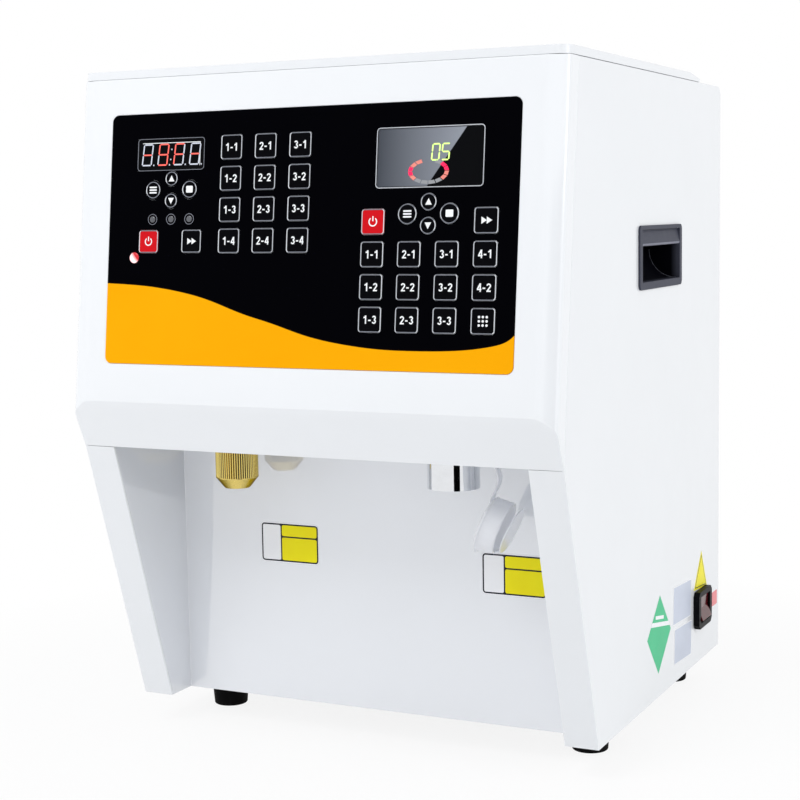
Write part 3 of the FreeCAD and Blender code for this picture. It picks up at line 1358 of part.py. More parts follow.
makeCabinet()
makeLiner()
makeRearPanel()
makeTopFrame()
makeLid()
makeFascia()
makeOverlay()
makeKeys()
makeBoard()
makeTank()
makeHopper()
makeAuger()
makeWheel()
makeMotor()
makeSpout()
makeNozzle()
makePump()
makeHoses()
makeCap()
makeHandles()
makeSwitch()
makeInlet()
makeFeet()
makeScrews()
doc.recompute()

for thing in doc.Objects:
    if "Invalid" in thing.State or "Error" in thing.State:
        raise RuntimeError("%s failed: %s" % (thing.Name, thing.State))
os.makedirs("parts", exist_ok=True)
for node in nodes:
    shape = node.Shape
    if shape.isNull() or not shape.isValid() or not shape.Solids:
        raise RuntimeError("%s has no valid solid" % node.Label)
    shape.exportStep(os.path.join("parts", node.Label + ".step"))
print(len(nodes), "sub-parts written")
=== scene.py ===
import math
import bmesh
import bpy
from mathutils import Matrix, Vector


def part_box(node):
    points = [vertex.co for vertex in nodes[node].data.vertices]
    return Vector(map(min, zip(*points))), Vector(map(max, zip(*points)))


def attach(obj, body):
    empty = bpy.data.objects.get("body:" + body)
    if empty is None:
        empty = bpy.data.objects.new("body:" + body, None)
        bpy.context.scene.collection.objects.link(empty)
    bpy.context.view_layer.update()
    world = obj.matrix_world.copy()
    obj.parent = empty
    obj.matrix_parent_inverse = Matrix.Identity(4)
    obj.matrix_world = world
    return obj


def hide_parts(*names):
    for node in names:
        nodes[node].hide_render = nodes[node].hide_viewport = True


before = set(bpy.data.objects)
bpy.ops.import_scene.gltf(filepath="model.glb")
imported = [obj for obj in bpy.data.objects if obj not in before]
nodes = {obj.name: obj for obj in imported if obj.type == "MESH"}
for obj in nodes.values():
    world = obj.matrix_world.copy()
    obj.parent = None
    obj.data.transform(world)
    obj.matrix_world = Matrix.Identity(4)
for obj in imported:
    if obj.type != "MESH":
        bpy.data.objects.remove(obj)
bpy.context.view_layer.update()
mm = 0.001


# shader trees and geometry trees, built by the same few calls

def operator(kind, turned=False):
    def made(self, other=None):
        first, second = (other, self) if turned else (self, other)
        return self.graph.maths(kind, first, second)
    return made


class Signal:
    # one output socket, so that sums on it add Math nodes
    def __init__(self, graph, socket):
        self.graph = graph
        self.socket = socket

    __add__ = operator("ADD")
    __sub__ = operator("SUBTRACT")
    __rsub__ = operator("SUBTRACT", True)
    __mul__ = operator("MULTIPLY")
    __truediv__ = operator("DIVIDE")
    __gt__ = operator("GREATER_THAN")
    __abs__ = operator("ABSOLUTE")

    def ramped(self, slope, middle=0.0):
        # 0..1 across the place where the signal passes the middle
        return self.graph.clamped(self - middle, float(slope), 0.5)


class Graph:
    def __init__(self, tree):
        self.tree = tree

    def node(self, kind, settings=None, inputs=None, output=0):
        made = self.tree.nodes.new(kind)
        for key, value in (settings or {}).items():
            if key == "points":
                curve = made.mapping.curves[0]
                for place, height in value[1:-1]:
                    curve.points.new(place, height)
                for point, (place, height) in zip(curve.points, value):
                    point.location = (place, height)
                made.mapping.update()
            else:
                setattr(made, key, value)
        for key, value in (inputs or {}).items():
            self.feed(made.inputs[key], value)
        return Signal(self, made.outputs[output])

    def feed(self, socket, value):
        if isinstance(value, Signal):
            self.tree.links.new(value.socket, socket)
        else:
            socket.default_value = value

    def maths(self, operation, first, second=None):
        inputs = {0: first}
        if second is not None:
            inputs[1] = second
        return self.node("ShaderNodeMath", {"operation": operation}, inputs)

    def clamped(self, value, slope, rise):
        # value * slope + rise, held to 0..1
        return self.node("ShaderNodeMath", {"operation": "MULTIPLY_ADD", "use_clamp": True},
                         {0: value, 1: slope, 2: rise})

    def mix(self, mask, first, second):
        return self.node("ShaderNodeMix", {"data_type": "RGBA"},
                         {"Factor": mask, "A": first, "B": second}, "Result")

    def split(self, vector):
        made = self.tree.nodes.new("ShaderNodeSeparateXYZ")
        self.tree.links.new(vector.socket, made.inputs[0])
        return [Signal(self, out) for out in made.outputs]


class Finish(Graph):
    # a material with one Principled shader
    def __init__(self, name, **sockets):
        self.material = bpy.data.materials.new(name)
        self.material.use_nodes = True
        super().__init__(self.material.node_tree)
        self.tree.nodes.clear()
        self.shader = self.tree.nodes.new("ShaderNodeBsdfPrincipled")
        self.output = self.tree.nodes.new("ShaderNodeOutputMaterial")
        self.tree.links.new(self.shader.outputs[0], self.output.inputs[0])
        self.place = self.node("ShaderNodeTexCoord", output="Object")
        self.use(sockets)

    def use(self, sockets):
        for name, value in sockets.items():
            self.feed(self.shader.inputs[name], value)

    def axes(self):
        return self.split(self.place)

    def noise(self, scale, detail=3, roughness=0.5, stretch=(1, 1, 1)):
        spot = self.node("ShaderNodeMapping", inputs={"Vector": self.place, "Scale": stretch})
        return self.node("ShaderNodeTexNoise", inputs={
            "Vector": spot, "Scale": scale, "Detail": detail, "Roughness": roughness})

    def spread(self, value, low, high):
        # a 0..1 value spread over low..high
        return value * (high - low) + low

    def surface(self, colour, rough, relief, strength, distance):
        bump = self.node("ShaderNodeBump", inputs={
            "Height": relief, "Strength": strength, "Distance": distance})
        self.use({"Base Color": colour, "Roughness": rough, "Normal": bump})
        return self.material


def rgb(red, green, blue):
    # a colour as it looks on a screen, 0..255, turned into the shader's own scale
    def line(part):
        part = part / 255
        return part / 12.92 if part <= 0.04045 else ((part + 0.055) / 1.055) ** 2.4
    return (line(red), line(green), line(blue), 1.0)


def shaded(colour, share):
    return tuple(min(1, part * share) for part in colour[:3]) + (1,)


# finishes

def paint(name, colour, rough=0.22, coat=0.4, grain=0.05, coatRough=0.08, coatIor=1.5):
    # sprayed and baked gloss paint with a faint orange peel
    made = Finish(name, **{"Coat Weight": coat, "Coat Roughness": coatRough, "Coat IOR": coatIor})
    return made.surface(made.mix(made.noise(9, 2), colour, shaded(colour, 0.965)),
                        made.spread(made.noise(40), rough - 0.04, rough + 0.05),
                        made.noise(900, 2, 0.6), grain, 0.08 * mm)


def plastic(name, colour, rough=0.4, grain=0.2, fineness=1400, shine=0.5):
    made = Finish(name, **{"Specular IOR Level": shine})
    light = tuple(min(1, part * 1.25 + 0.001) for part in colour[:3]) + (1,)
    return made.surface(made.mix(made.noise(30, 3), colour, light),
                        made.spread(made.noise(120), rough - 0.06, rough + 0.08),
                        made.noise(fineness, 2), grain, 0.12 * mm)


def metal(name, colour, rough, stretch=(1, 1, 1), scale=300, grain=0.08, edge=(1, 1, 1, 1)):
    # edge tints the reflection at a grazing angle
    made = Finish(name, Metallic=1.0, **{"Specular Tint": edge})
    streak = made.noise(scale, 4, 0.6, stretch)
    return made.surface(made.mix(streak, shaded(colour, 0.86), colour),
                        made.spread(streak, rough * 0.7, rough * 1.35), streak, grain, 0.06 * mm)


def glow(name, colour, strength):
    made = Finish(name, Roughness=0.35, **{"Emission Strength": strength, "Specular IOR Level": 0.1})
    cloud = made.noise(260, 2)
    made.use({"Base Color": made.mix(cloud, colour, shaded(colour, 0.85)),
              "Emission Color": made.mix(cloud, colour, shaded(colour, 0.9))})
    return made.material


finishes = {
    "cabinet": paint("CabinetWhite", rgb(240, 242, 245)),
    "fascia": paint("FasciaWhite", rgb(243, 245, 248), 0.16, 0.7, 0.03),
    "bay": paint("BayWhite", rgb(232, 235, 241), 0.3, 1.0, 0.02, 0.03, 2.8),
    "blackPlastic": plastic("BlackPlastic", rgb(8, 8, 10), 0.36, shine=0.05),
    # a painted highlight for the lower edge of the handles' grip lip
    "handleLipHighlight": plastic("HandleLip", rgb(112, 114, 128), 0.36, 0.2, 1100, 0.1),
    "rubber": plastic("FootRubber", rgb(8, 8, 9), 0.7, 0.5, 700, 0.06),
    "steel": metal("BrushedSteel", rgb(205, 206, 208), 0.3, (1, 1, 30)),
    "castMetal": metal("CastMetal", rgb(165, 168, 172), 0.45, scale=500, grain=0.3),
    "chrome": metal("Chrome", rgb(235, 237, 240), 0.05, scale=120, grain=0.01),
    "brass": metal("Brass", rgb(238, 214, 128), 0.24, (1, 1, 0.1), 500, 0.1, rgb(120, 98, 44)),
    # a dark copy of the brass for the barrel between the ribs: painted shade in the grooves
    "brassGrooveShade": metal("BrassGroove", rgb(44, 34, 12), 0.4, (1, 1, 0.1), 500, 0.1),
    "screw": metal("PlatedSteel", rgb(190, 192, 195), 0.25, scale=900, grain=0.05),
    "keyBlack": plastic("KeyFilmBlack", rgb(2, 2, 5), 0.24, 0.05, 2200, 0.03),
    "keyRed": plastic("KeyFilmRed", rgb(200, 18, 28), 0.3, 0.08, 2200, 0.06),
    # white print that also glows faintly: the glow is painted light
    "printWhite": glow("PrintWhite", rgb(238, 240, 242), 0.2),
    # shaded, half lit and lit copies of one pale rim colour: painted light and shade; the lit one also glows
    "rimDim": plastic("RimShaded", rgb(126, 129, 138), 0.4, 0.05, 2200, 0.1),
    "rimHalf": plastic("RimHalfLit", rgb(192, 195, 201), 0.4, 0.05, 2200, 0.1),
    "rimBright": glow("RimLit", rgb(226, 229, 234), 0.1),
    # unlit segments: a pale colour that also glows faintly, and the glow is painted light
    "segmentOff": glow("SegmentPale", rgb(196, 200, 212), 0.35),
    "segmentRed": glow("SegmentRed", rgb(240, 104, 94), 0.6),
    "digitGreen": glow("DigitGreen", rgb(205, 236, 130), 0.9),
    "gaugeRed": glow("GaugeRed", rgb(232, 40, 84), 0.8),
    "gaugePale": glow("GaugePale", rgb(222, 132, 120), 0.4),
    "gaugeGrey": glow("GaugeGrey", rgb(150, 152, 156), 0.2),
}


def finishList(*names):
    return [finishes[name] for name in names]


print("finishes ready:", len(finishes))

face = {          # the leaning front, from its top edge
    "topY": -170.89 * mm,
    "topZ": 501 * mm,
    "lean": 6.8,      # degrees off plumb
    "overlayProud": 0.3 * mm,
    "keyProud": 0.45 * mm,
}
lean = math.radians(face["lean"])
faceDown = Vector((0, -math.sin(lean), -math.cos(lean)))
faceOut = Vector((0, -math.cos(lean), math.sin(lean)))


def onFace(across, down, out=0.0):
    # a matrix that lays flat work, drawn in X and Y, on the front: Y runs up the face
    spot = Vector((across, face["topY"], face["topZ"])) + faceDown * down + faceOut * out
    turn = Matrix((Vector((1, 0, 0)), -faceDown, faceOut)).transposed().to_4x4()
    return Matrix.Translation(spot) @ turn


def upright(x, y, z, facing=(0, -1, 0)):
    # the same for a wall: flat work drawn in X and Y, with Y up, looking along facing
    out = Vector(facing)
    up = Vector((0, 0, 1))
    turn = Matrix((up.cross(out), up, out)).transposed().to_4x4()
    return Matrix.Translation((x, y, z)) @ turn


# meshes

def linked(name, data):
    made = bpy.data.objects.new(name, data)
    bpy.context.scene.collection.objects.link(made)
    return made


def smoothed(mesh, angle):
    # smooth faces, with a sharp edge wherever two meet at more than the angle
    mesh.shade_smooth()
    mesh.set_sharp_from_angle(angle=math.radians(angle))


def piece(name, mesh, body, material, smooth=35):
    mesh.name = name
    made = linked(name, mesh)
    if mesh.materials:
        mesh.materials.clear()
    for one in material if isinstance(material, list) else [material]:
        mesh.materials.append(one)
    smoothed(mesh, smooth)
    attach(made, body)
    return made


def joined(parts):
    # parts are (mesh, matrix, material number or a rule that gives it for a face); gives one mesh
    whole = bmesh.new()
    for mesh, matrix, number in parts:
        one = bmesh.new()
        one.from_mesh(mesh)
        for item in one.faces:
            item.material_index = number(item) if callable(number) else number
        one.transform(matrix)
        if matrix.determinant() < 0:
            bmesh.ops.reverse_faces(one, faces=one.faces)
        copy = bpy.data.meshes.new("part")
        one.to_mesh(copy)
        one.free()
        whole.from_mesh(copy)
        bpy.data.meshes.remove(copy)
    made = bpy.data.meshes.new("joined")
    whole.to_mesh(made)
    whole.free()
    return made


def fromWork(work, name):
    made = bpy.data.meshes.new(name)
    work.to_mesh(made)
    work.free()
    return made


def slab(points, thick):
    # a flat outline in X and Y with a thickness along Z, from 0 up
    work = bmesh.new()
    low = [work.verts.new((x, y, 0)) for x, y in points]
    high = [work.verts.new((x, y, thick)) for x, y in points]
    work.faces.new(reversed(low))
    work.faces.new(high)
    for number in range(len(points)):
        after = (number + 1) % len(points)
        work.faces.new((low[number], low[after], high[after], high[number]))
    bmesh.ops.recalc_face_normals(work, faces=work.faces)
    return fromWork(work, "slab")


def roundedOutline(width, height, radius, steps=5):
    points = []
    for turn, (sx, sy) in enumerate(((1, 1), (-1, 1), (-1, -1), (1, -1))):
        centre = (sx * (width / 2 - radius), sy * (height / 2 - radius))
        for step in range(steps + 1):
            angle = math.radians(90 * (turn + step / steps))
            points.append((centre[0] + radius * math.cos(angle),
                           centre[1] + radius * math.sin(angle)))
    return points


def circleOutline(radius, sides=40):
    return [(radius * math.cos(2 * math.pi * n / sides), radius * math.sin(2 * math.pi * n / sides))
            for n in range(sides)]


def arcPoints(x, y, radius, start, end, steps=12):
    angles = [math.radians(start + (end - start) * n / steps) for n in range(steps + 1)]
    return [(x + radius * math.cos(angle), y + radius * math.sin(angle)) for angle in angles]


def stroke(points, width):
    # the outline of a pen stroke along the points, mitred at its bends
    spots = [Vector(point) for point in points]
    left, right = [], []
    for number, spot in enumerate(spots):
        before = (spot - spots[number - 1]).normalized() if number else None
        after = (spots[number + 1] - spot).normalized() if number < len(spots) - 1 else None
        before, after = before or after, after or before
        way = (before + after).normalized()
        side = Vector((-way.y, way.x))
        reach = width / 2 / max(0.5, way.dot(after))
        left.append(spot + side * reach)
        right.append(spot - side * reach)
    return [(spot.x, spot.y) for spot in left + right[::-1]]


def bridged(rings):
    # skins rings of points, each as long as the others or a single point
    work = bmesh.new()
    made = [[work.verts.new(point) for point in ring] for ring in rings]
    for one, two in zip(made, made[1:]):
        sides = max(len(one), len(two))
        for n in range(sides):
            m = (n + 1) % sides
            corner = [one[n % len(one)], one[m % len(one)], two[m % len(two)], two[n % len(two)]]
            unique = list(dict.fromkeys(corner))
            if len(unique) > 2:
                work.faces.new(unique)
    bmesh.ops.recalc_face_normals(work, faces=work.faces)
    return fromWork(work, "bridged")


def lathe(profile, sides=64):
    # turns (radius, height) pairs about Z; closed where the radius is 0
    return bridged([[(0, 0, height)] if radius < 1e-7 else
                    [(x, y, height) for x, y in circleOutline(radius, sides)]
                    for radius, height in profile])


# geometry trees

class Recipe(Graph):
    # a geometry tree with named inputs, run once for a plain mesh
    def __init__(self, name, **values):
        tree = bpy.data.node_groups.new(name, "GeometryNodeTree")
        super().__init__(tree)
        self.values = values
        self.name = name
        tree.interface.new_socket(name="Geometry", in_out="INPUT", socket_type="NodeSocketGeometry")
        for key, value in values.items():
            kind = "NodeSocketInt" if isinstance(value, int) else "NodeSocketFloat"
            tree.interface.new_socket(name=key, in_out="INPUT", socket_type=kind)
        tree.interface.new_socket(name="Geometry", in_out="OUTPUT", socket_type="NodeSocketGeometry")
        self.source = tree.nodes.new("NodeGroupInput")

    def given(self, name):
        return Signal(self, self.source.outputs[name])

    def swept(self, line, size, sides, caps=False):
        # a round section, as large as the named input, along a line
        section = self.node("GeometryNodeCurvePrimitiveCircle",
                            inputs={"Resolution": sides, "Radius": self.given(size)})
        return self.finish(self.node("GeometryNodeCurveToMesh", inputs={
            "Curve": line, "Profile Curve": section, "Fill Caps": caps}))

    def instanced(self, points, shape):
        return self.finish(self.node("GeometryNodeInstanceOnPoints",
                                     inputs={"Points": points, "Instance": shape}))

    def finish(self, geometry):
        real = self.node("GeometryNodeRealizeInstances", inputs={0: geometry})
        last = self.tree.nodes.new("NodeGroupOutput")
        self.tree.links.new(real.socket, last.inputs[0])
        return self

    def mesh(self, start=None, **changed):
        # start is the mesh that the tree is given
        values = {**self.values, **changed}
        temp = linked(self.name, start or bpy.data.meshes.new(self.name))
        modifier = temp.modifiers.new(self.name, "NODES")
        modifier.node_group = self.tree
        for item in self.tree.interface.items_tree:
            if item.in_out == "INPUT" and item.name in values:
                modifier[item.identifier] = values[item.name]
        bpy.context.view_layer.update()
        worked = temp.evaluated_get(bpy.context.evaluated_depsgraph_get())
        made = bpy.data.meshes.new_from_object(worked)
        bpy.data.objects.remove(temp)
        return made


def rimRecipe():
    tree = Recipe("RaisedRim", Width=17 * mm, Height=17 * mm, Corner=1.6 * mm, Wire=0.35 * mm)
    box = tree.node("GeometryNodeCurvePrimitiveQuadrilateral",
                    inputs={"Width": tree.given("Width"), "Height": tree.given("Height")})
    line = tree.node("GeometryNodeFilletCurve", {"mode": "POLY"},
                     {"Curve": box, "Radius": tree.given("Corner"), "Count": 6})
    return tree.swept(line, "Wire", 8)


def ringRecipe():
    tree = Recipe("RaisedRing", Radius=6 * mm, Wire=0.35 * mm)
    line = tree.node("GeometryNodeCurvePrimitiveCircle",
                     inputs={"Resolution": 48, "Radius": tree.given("Radius")})
    return tree.swept(line, "Wire", 8)


rimTree = rimRecipe()
ringTree = ringRecipe()


soften = {
    "weld": 1e-6,
    "flat": 0.6,      # degrees: faces closer than this are one
    "sharp": 30,      # degrees: edges sharper than this are broken
}


def softEdges(node, body, material, width, segments=3):
    # a welded copy of a CAD node with its sharp edges broken, shown in its place
    mesh = nodes[node].data.copy()
    work = bmesh.new()
    work.from_mesh(mesh)
    bmesh.ops.remove_doubles(work, verts=work.verts, dist=soften["weld"])
    bmesh.ops.dissolve_limit(work, angle_limit=math.radians(soften["flat"]), verts=work.verts,
                             edges=work.edges)
    work.to_mesh(mesh)
    work.free()
    made = piece(node + "_finished", mesh, body, material, soften["sharp"])
    bevel = made.modifiers.new("SoftEdges", "BEVEL")
    bevel.width = width
    bevel.segments = segments
    bevel.limit_method = "ANGLE"
    bevel.angle_limit = math.radians(soften["sharp"])
    bevel.harden_normals = True
    bevel.use_clamp_overlap = True
    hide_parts(node)
    return made


def dress(node, material):
    mesh = nodes[node].data
    mesh.materials.clear()
    mesh.materials.append(material)
    smoothed(mesh, soften["sharp"])


# housing

edges = {         # how far each sheet or moulding has its edges broken
    "cabinet_body": ("housing", "cabinet", "white_paint", 0.8 * mm),
    "bay_liner": ("housing", "bay", "white_paint", 0.5 * mm),
    "rear_panel": ("housing", "cabinet", "white_paint", 0.3 * mm),
    "top_frame": ("housing", "cabinet", "white_paint", 0.5 * mm),
    "top_lid": ("lid", "cabinet", "white_paint", 0.9 * mm),
    "front_fascia": ("housing", "fascia", "white_shell", 1.2 * mm),
    "switch_bezel": ("housing", "blackPlastic", "black_plastic", 0.5 * mm),
    "power_inlet": ("housing", "blackPlastic", "black_plastic", 0.3 * mm),
    "rubber_feet": ("housing", "rubber", "black_rubber", 1.0 * mm),
}
for node, (body, finish, slot, width) in edges.items():
    softEdges(node, body, finishes[finish], width)
for node, finish in {"syrup_tank": "steel", "powder_hopper": "steel", "hopper_agitator": "steel",
                     "auger_motor": "castMetal", "syrup_pump": "castMetal",
                     "powder_spout": "chrome"}.items():
    dress(node, finishes[finish])
print("housing dressed")


# carry handles: the moulding, its grip lip and a painted highlight line on the edge where the scoop meets the
# end wall

handle = {           # in mm, from the cabinet's side
    "side": 190,
    "back": 27.5,
    "height": 365.5,
    "length": 94,
    "lip": [(1.3, 9.4), (1.0, 8.7), (0.3, 8.4), (-1.4, 8.8), (-3.2, 21.2), (-1.2, 21.2), (-0.6, 20.4),
            (1.4, 10.2)],
    "lipBright": 10.6,           # painted highlight: the lip is bright below this height
    "scoop": (-1.5, 4.0, 22),    # centre of the quarter round, and its radius
    # width and thickness of the painted highlight line along the scoop's edge
    "line": 0.85,
    "lineThick": 0.1,
    "dark": (0.6, 5),            # painted shade: how far in from the side the recess starts to turn dark, and over how much
}


def handleFinish():
    # painted light and shade on one black moulding: the recess is darker than the frame round it, near black,
    # and the frame is a lighter grey
    made = Finish("HandleMoulding", **{"Specular IOR Level": 0.06})
    x, y, z = made.axes()
    start, reach = handle["dark"]
    paintedShade = made.node("ShaderNodeClamp", inputs={0: ((handle["side"] - start) * mm - abs(x)) / (reach * mm)})
    # the frame's grey stands in for light falling on the black plastic: painted light
    colour = made.mix(made.noise(30), rgb(66, 68, 80), rgb(76, 78, 90))
    return made.surface(made.mix(paintedShade, colour, rgb(7, 7, 14)), made.spread(made.noise(120), 0.38, 0.5),
                        made.noise(1100, 2), 0.2, 0.12 * mm)


# faces low on the lip take the painted highlight
def lipPaintedHighlight(item):
    return int(item.calc_center_median().y < handle["lipBright"] * mm)


def handleParts():
    parts = []
    side, back, height, length = (handle[key] * mm for key in ("side", "back", "height", "length"))
    lip = slab([(x * mm, z * mm) for x, z in handle["lip"]], length)
    x, z, radius = (part * mm for part in handle["scoop"])
    # a thin pale line along the scoop's edge: a painted highlight
    line = slab(stroke(arcPoints(x, z, radius, 180, 270, 16), handle["line"] * mm), handle["lineThick"] * mm)
    for way in (-1, 1):
        front = Matrix.Scale(way, 4, (1, 0, 0)) @ upright(side, back + length / 2, height)
        parts += [(lip, front, lipPaintedHighlight), (line, front, 2)]
    return parts


softEdges("side_handles", "housing", handleFinish(), 0.5 * mm)
piece("handle_lips", joined(handleParts()), "housing",
      [bpy.data.materials["HandleMoulding"], finishes["handleLipHighlight"], finishes["rimDim"]], 30)


# screws of the rear panel, all from one head with a cross recess

screws = {
    "across": 181.5 * mm,
    "rows": 4,
    "low": 50 * mm,
    "high": 462 * mm,
    "back": 198.65 * mm,
    "shank": (1.6 * mm, 8 * mm),          # radius and length, then its outline in shares of them
    "shankLine": [(0, -1), (0.6, -1), (1, -0.85), (1, 0)],
    "head": (3.6 * mm, 2 * mm),
    "headLine": [(1, 0), (1, 0.4), (0.94, 0.7), (0.78, 0.92), (0.6, 1)],
    "cross": (1.7 * mm, 0.45 * mm, 1.1 * mm),        # reach, half width, depth
    "crossFoot": 0.75,
}


def crossOutline(reach, half):
    corner = [(reach, -half), (reach, half), (half, half)]
    points = []
    for turn in range(4):
        cos, sin = round(math.cos(math.pi / 2 * turn)), round(math.sin(math.pi / 2 * turn))
        points += [(x * cos - y * sin, x * sin + y * cos) for x, y in corner]
    return points


def screwMesh():
    # the head stands on the XY plane and the shank hangs below it
    profile = [(radius * x, length * y) for part in ("shank", "head")
               for radius, length in [screws[part]] for x, y in screws[part + "Line"]]
    reach, half, depth = screws["cross"]
    height = profile[-1][1]
    work = bmesh.new()
    work.from_mesh(lathe(profile, 24))
    rim = [edge for edge in work.edges if edge.is_boundary]
    outline = crossOutline(reach, half)
    share = screws["crossFoot"]
    mouth = [work.verts.new((x, y, height)) for x, y in outline]
    foot = [work.verts.new((x * share, y * share, height - depth)) for x, y in outline]
    pairs = [(n, (n + 1) % len(mouth)) for n in range(len(mouth))]
    lip = [work.edges.new((mouth[n], mouth[after])) for n, after in pairs]
    bmesh.ops.triangle_fill(work, use_beauty=True, edges=rim + lip)
    for n, after in pairs:
        work.faces.new((mouth[n], mouth[after], foot[after], foot[n]))
    work.faces.new(foot)
    bmesh.ops.recalc_face_normals(work, faces=work.faces)
    return fromWork(work, "screw")


def screwRecipe():
    tree = Recipe("PanelScrews", Rows=screws["rows"], Width=2 * screws["across"],
                  Height=screws["high"] - screws["low"])
    grid = tree.node("GeometryNodeMeshGrid", inputs={
        "Vertices X": 2, "Vertices Y": tree.given("Rows"),
        "Size X": tree.given("Width"), "Size Y": tree.given("Height")})
    return tree.instanced(grid, tree.given("Geometry"))


screwPlace = upright(0, screws["back"], (screws["low"] + screws["high"]) / 2, (0, 1, 0))
screwsMade = piece("rear_screws_finished", joined([(screwRecipe().mesh(screwMesh()), screwPlace, 0)]),
                   "housing", finishes["screw"])
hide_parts("rear_screws")


# auger: a flight that winds round its shaft by rule

auger = {
    "across": 89 * mm,
    "height": 263 * mm,
    "start": -142.35 * mm,
    "end": 106 * mm,
    "radius": 16 * mm,
    "root": 3 * mm,
    "shaft": 3.95 * mm,
    "lead": 0.5 * mm,            # the shaft's broken ends
    "pitch": 30 * mm,
    "turns": 7.75,
    "blade": 3 * mm,
    "sidesPerTurn": 32,
}


def flightRecipe():
    # a bar of faces is laid out by angle, reach and thickness, and wound into the flight
    tree = Recipe("AugerFlight", Turns=auger["turns"], Pitch=auger["pitch"], Root=auger["root"],
                  Reach=auger["radius"], Blade=auger["blade"])
    along = int(auger["turns"] * auger["sidesPerTurn"])
    bar = tree.node("GeometryNodeMeshCube", inputs={
        "Vertices X": along, "Vertices Y": 3, "Vertices Z": 2}, output="Mesh")
    x, y, z = tree.split(tree.node("GeometryNodeInputPosition"))
    turned = (x + 0.5) * tree.given("Turns")
    angle = turned * (2 * math.pi)
    reach = tree.given("Reach") - (y + 0.5) * (tree.given("Reach") - tree.given("Root"))
    height = turned * tree.given("Pitch") + z * tree.given("Blade")
    spot = tree.node("ShaderNodeCombineXYZ", inputs={
        0: reach * tree.maths("COSINE", angle), 1: reach * tree.maths("SINE", angle), 2: height})
    return tree.finish(tree.node("GeometryNodeSetPosition", inputs={"Geometry": bar, "Position": spot}))


def augerShaft():
    low, high = -auger["blade"], auger["end"] - auger["start"]
    radius, lead = auger["shaft"], auger["lead"]
    return lathe([(0, low), (radius - lead, low), (radius, low + lead), (radius, high - lead),
                  (radius - lead, high), (0, high)], 40)


augerPlace = (Matrix.Translation((auger["across"], auger["start"], auger["height"]))
              @ Matrix.Rotation(math.radians(-90), 4, "X"))
augerParts = joined([(mesh, augerPlace, 0) for mesh in (flightRecipe().mesh(), augerShaft())])
augerMade = piece("powder_auger_finished", augerParts, "auger", finishes["steel"])
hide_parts("powder_auger")
print("screws and auger made")


# overlay: a black film over an orange wave

overlay = {
    "width": 320 * mm,
    "waveDepth": (148, 200),      # mm down the face, at the curve's 1 and 0
    "wave": [(0, 0.995), (0.155, 0.92), (0.4, 0.52), (0.635, 0.185), (0.78, 0.14), (0.93, 0.195),
             (1, 0.36)],
    "waveEdge": 4,                # how sharp the wave's edge is
    "black": rgb(2, 2, 5),
    "orange": rgb(255, 178, 12),
    "amber": rgb(252, 170, 8),
}


def overlayFinish():
    made = Finish("OverlayFilm", **{"Specular IOR Level": 0.01})
    x, y, z = made.axes()
    down = (face["topZ"] - z) / (math.cos(lean) * mm)
    line = made.node("ShaderNodeFloatCurve", {"points": overlay["wave"]},
                     {"Factor": 1.0, "Value": x / overlay["width"] + 0.5})
    near, far = overlay["waveDepth"]
    below = (down - (line * (near - far) + far)).ramped(overlay["waveEdge"])
    orange = made.mix(made.noise(14, 2), overlay["orange"], overlay["amber"])
    return made.surface(made.mix(below, overlay["black"], orange),
                        made.spread(below, 0.14, 0.3) + made.noise(60) * 0.05,
                        made.noise(1500, 2), 0.03, 0.08 * mm)


softEdges("keypad_overlay", "housing", overlayFinish(), 0.15 * mm, 2)

keys = {
    "rimInset": 0.4 * mm,
    "wire": 0.34 * mm,
    "corner": 1.7 * mm,
    "figureHeight": 5.6 * mm,
    "figureStroke": 0.165,        # share of the figure's height
    "figureWidth": 0.55,
    "hyphenWidth": 0.34,
    "figureGap": 0.16,
    "ringShare": (0.82, 0.94),    # of a round key, inside its ring, on the left and on the right
    "print": 0.08 * mm,
}
signs = {             # in shares of a key's half width
    "arrow": (0.42, 0.357),        # half width, half height
    "power": 0.38,
    "powerLine": (0.26, 0.87, 0.1, 1.15),   # in shares of the sign: pen, ring, foot and top of the bar
    "powerTurn": (128, 412),       # degrees of its ring
    "bars": (0.9, 0.16, 0.07, 0.28),        # width, height, corner, pitch
    "square": (0.8, 0.7, 0.1),
    "run": (0.2, 0.26, 0.28),      # left and right end, half height
    "runPlaces": (-0.2, 0.24),
    "dots": (0.1, 0.32),           # radius, pitch
}
figureStrokes = {     # a figure one high, as pen strokes
    "1": [[(0.06, 0.735), (0.2, 0.765), (0.3, 0.86), (0.33, 0.99)], [(0.36, 0), (0.36, 1)]],
    "2": [arcPoints(0.275, 0.7, 0.205, 175, -38, 14) + [(0.12, 0.13)], [(0.01, 0.083), (0.545, 0.083)]],
    "3": [arcPoints(0.27, 0.73, 0.18, 165, -90, 14), arcPoints(0.27, 0.29, 0.2, 90, -165, 14)],
    "4": [[(0.39, 0.97), (0.06, 0.31)], [(0, 0.29), (0.57, 0.29)], [(0.42, 0), (0.42, 1)]],
    "-": [[(0, 0.42), (0.34, 0.42)]],
}


def label(text, height, thick):
    # plain figures side by side, centred on the origin; parts for joined
    widths = [keys["hyphenWidth"] if sign == "-" else keys["figureWidth"] for sign in text]
    across = -(sum(widths) + keys["figureGap"] * (len(text) - 1)) / 2
    parts = []
    for sign, width in zip(text, widths):
        for points in figureStrokes[sign]:
            outline = [((across + x) * height, (y - 0.5) * height)
                       for x, y in stroke(points, keys["figureStroke"])]
            parts.append((slab(outline, thick), Matrix()))
        across += width + keys["figureGap"]
    return parts


def keyPlace(node):
    # where a key's middle is on the face, and its half width
    low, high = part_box(node)
    across = (low.x + high.x) / 2
    down = (face["topZ"] - (low.z + high.z) / 2) / math.cos(lean)
    return across, down, (high.x - low.x) / 2


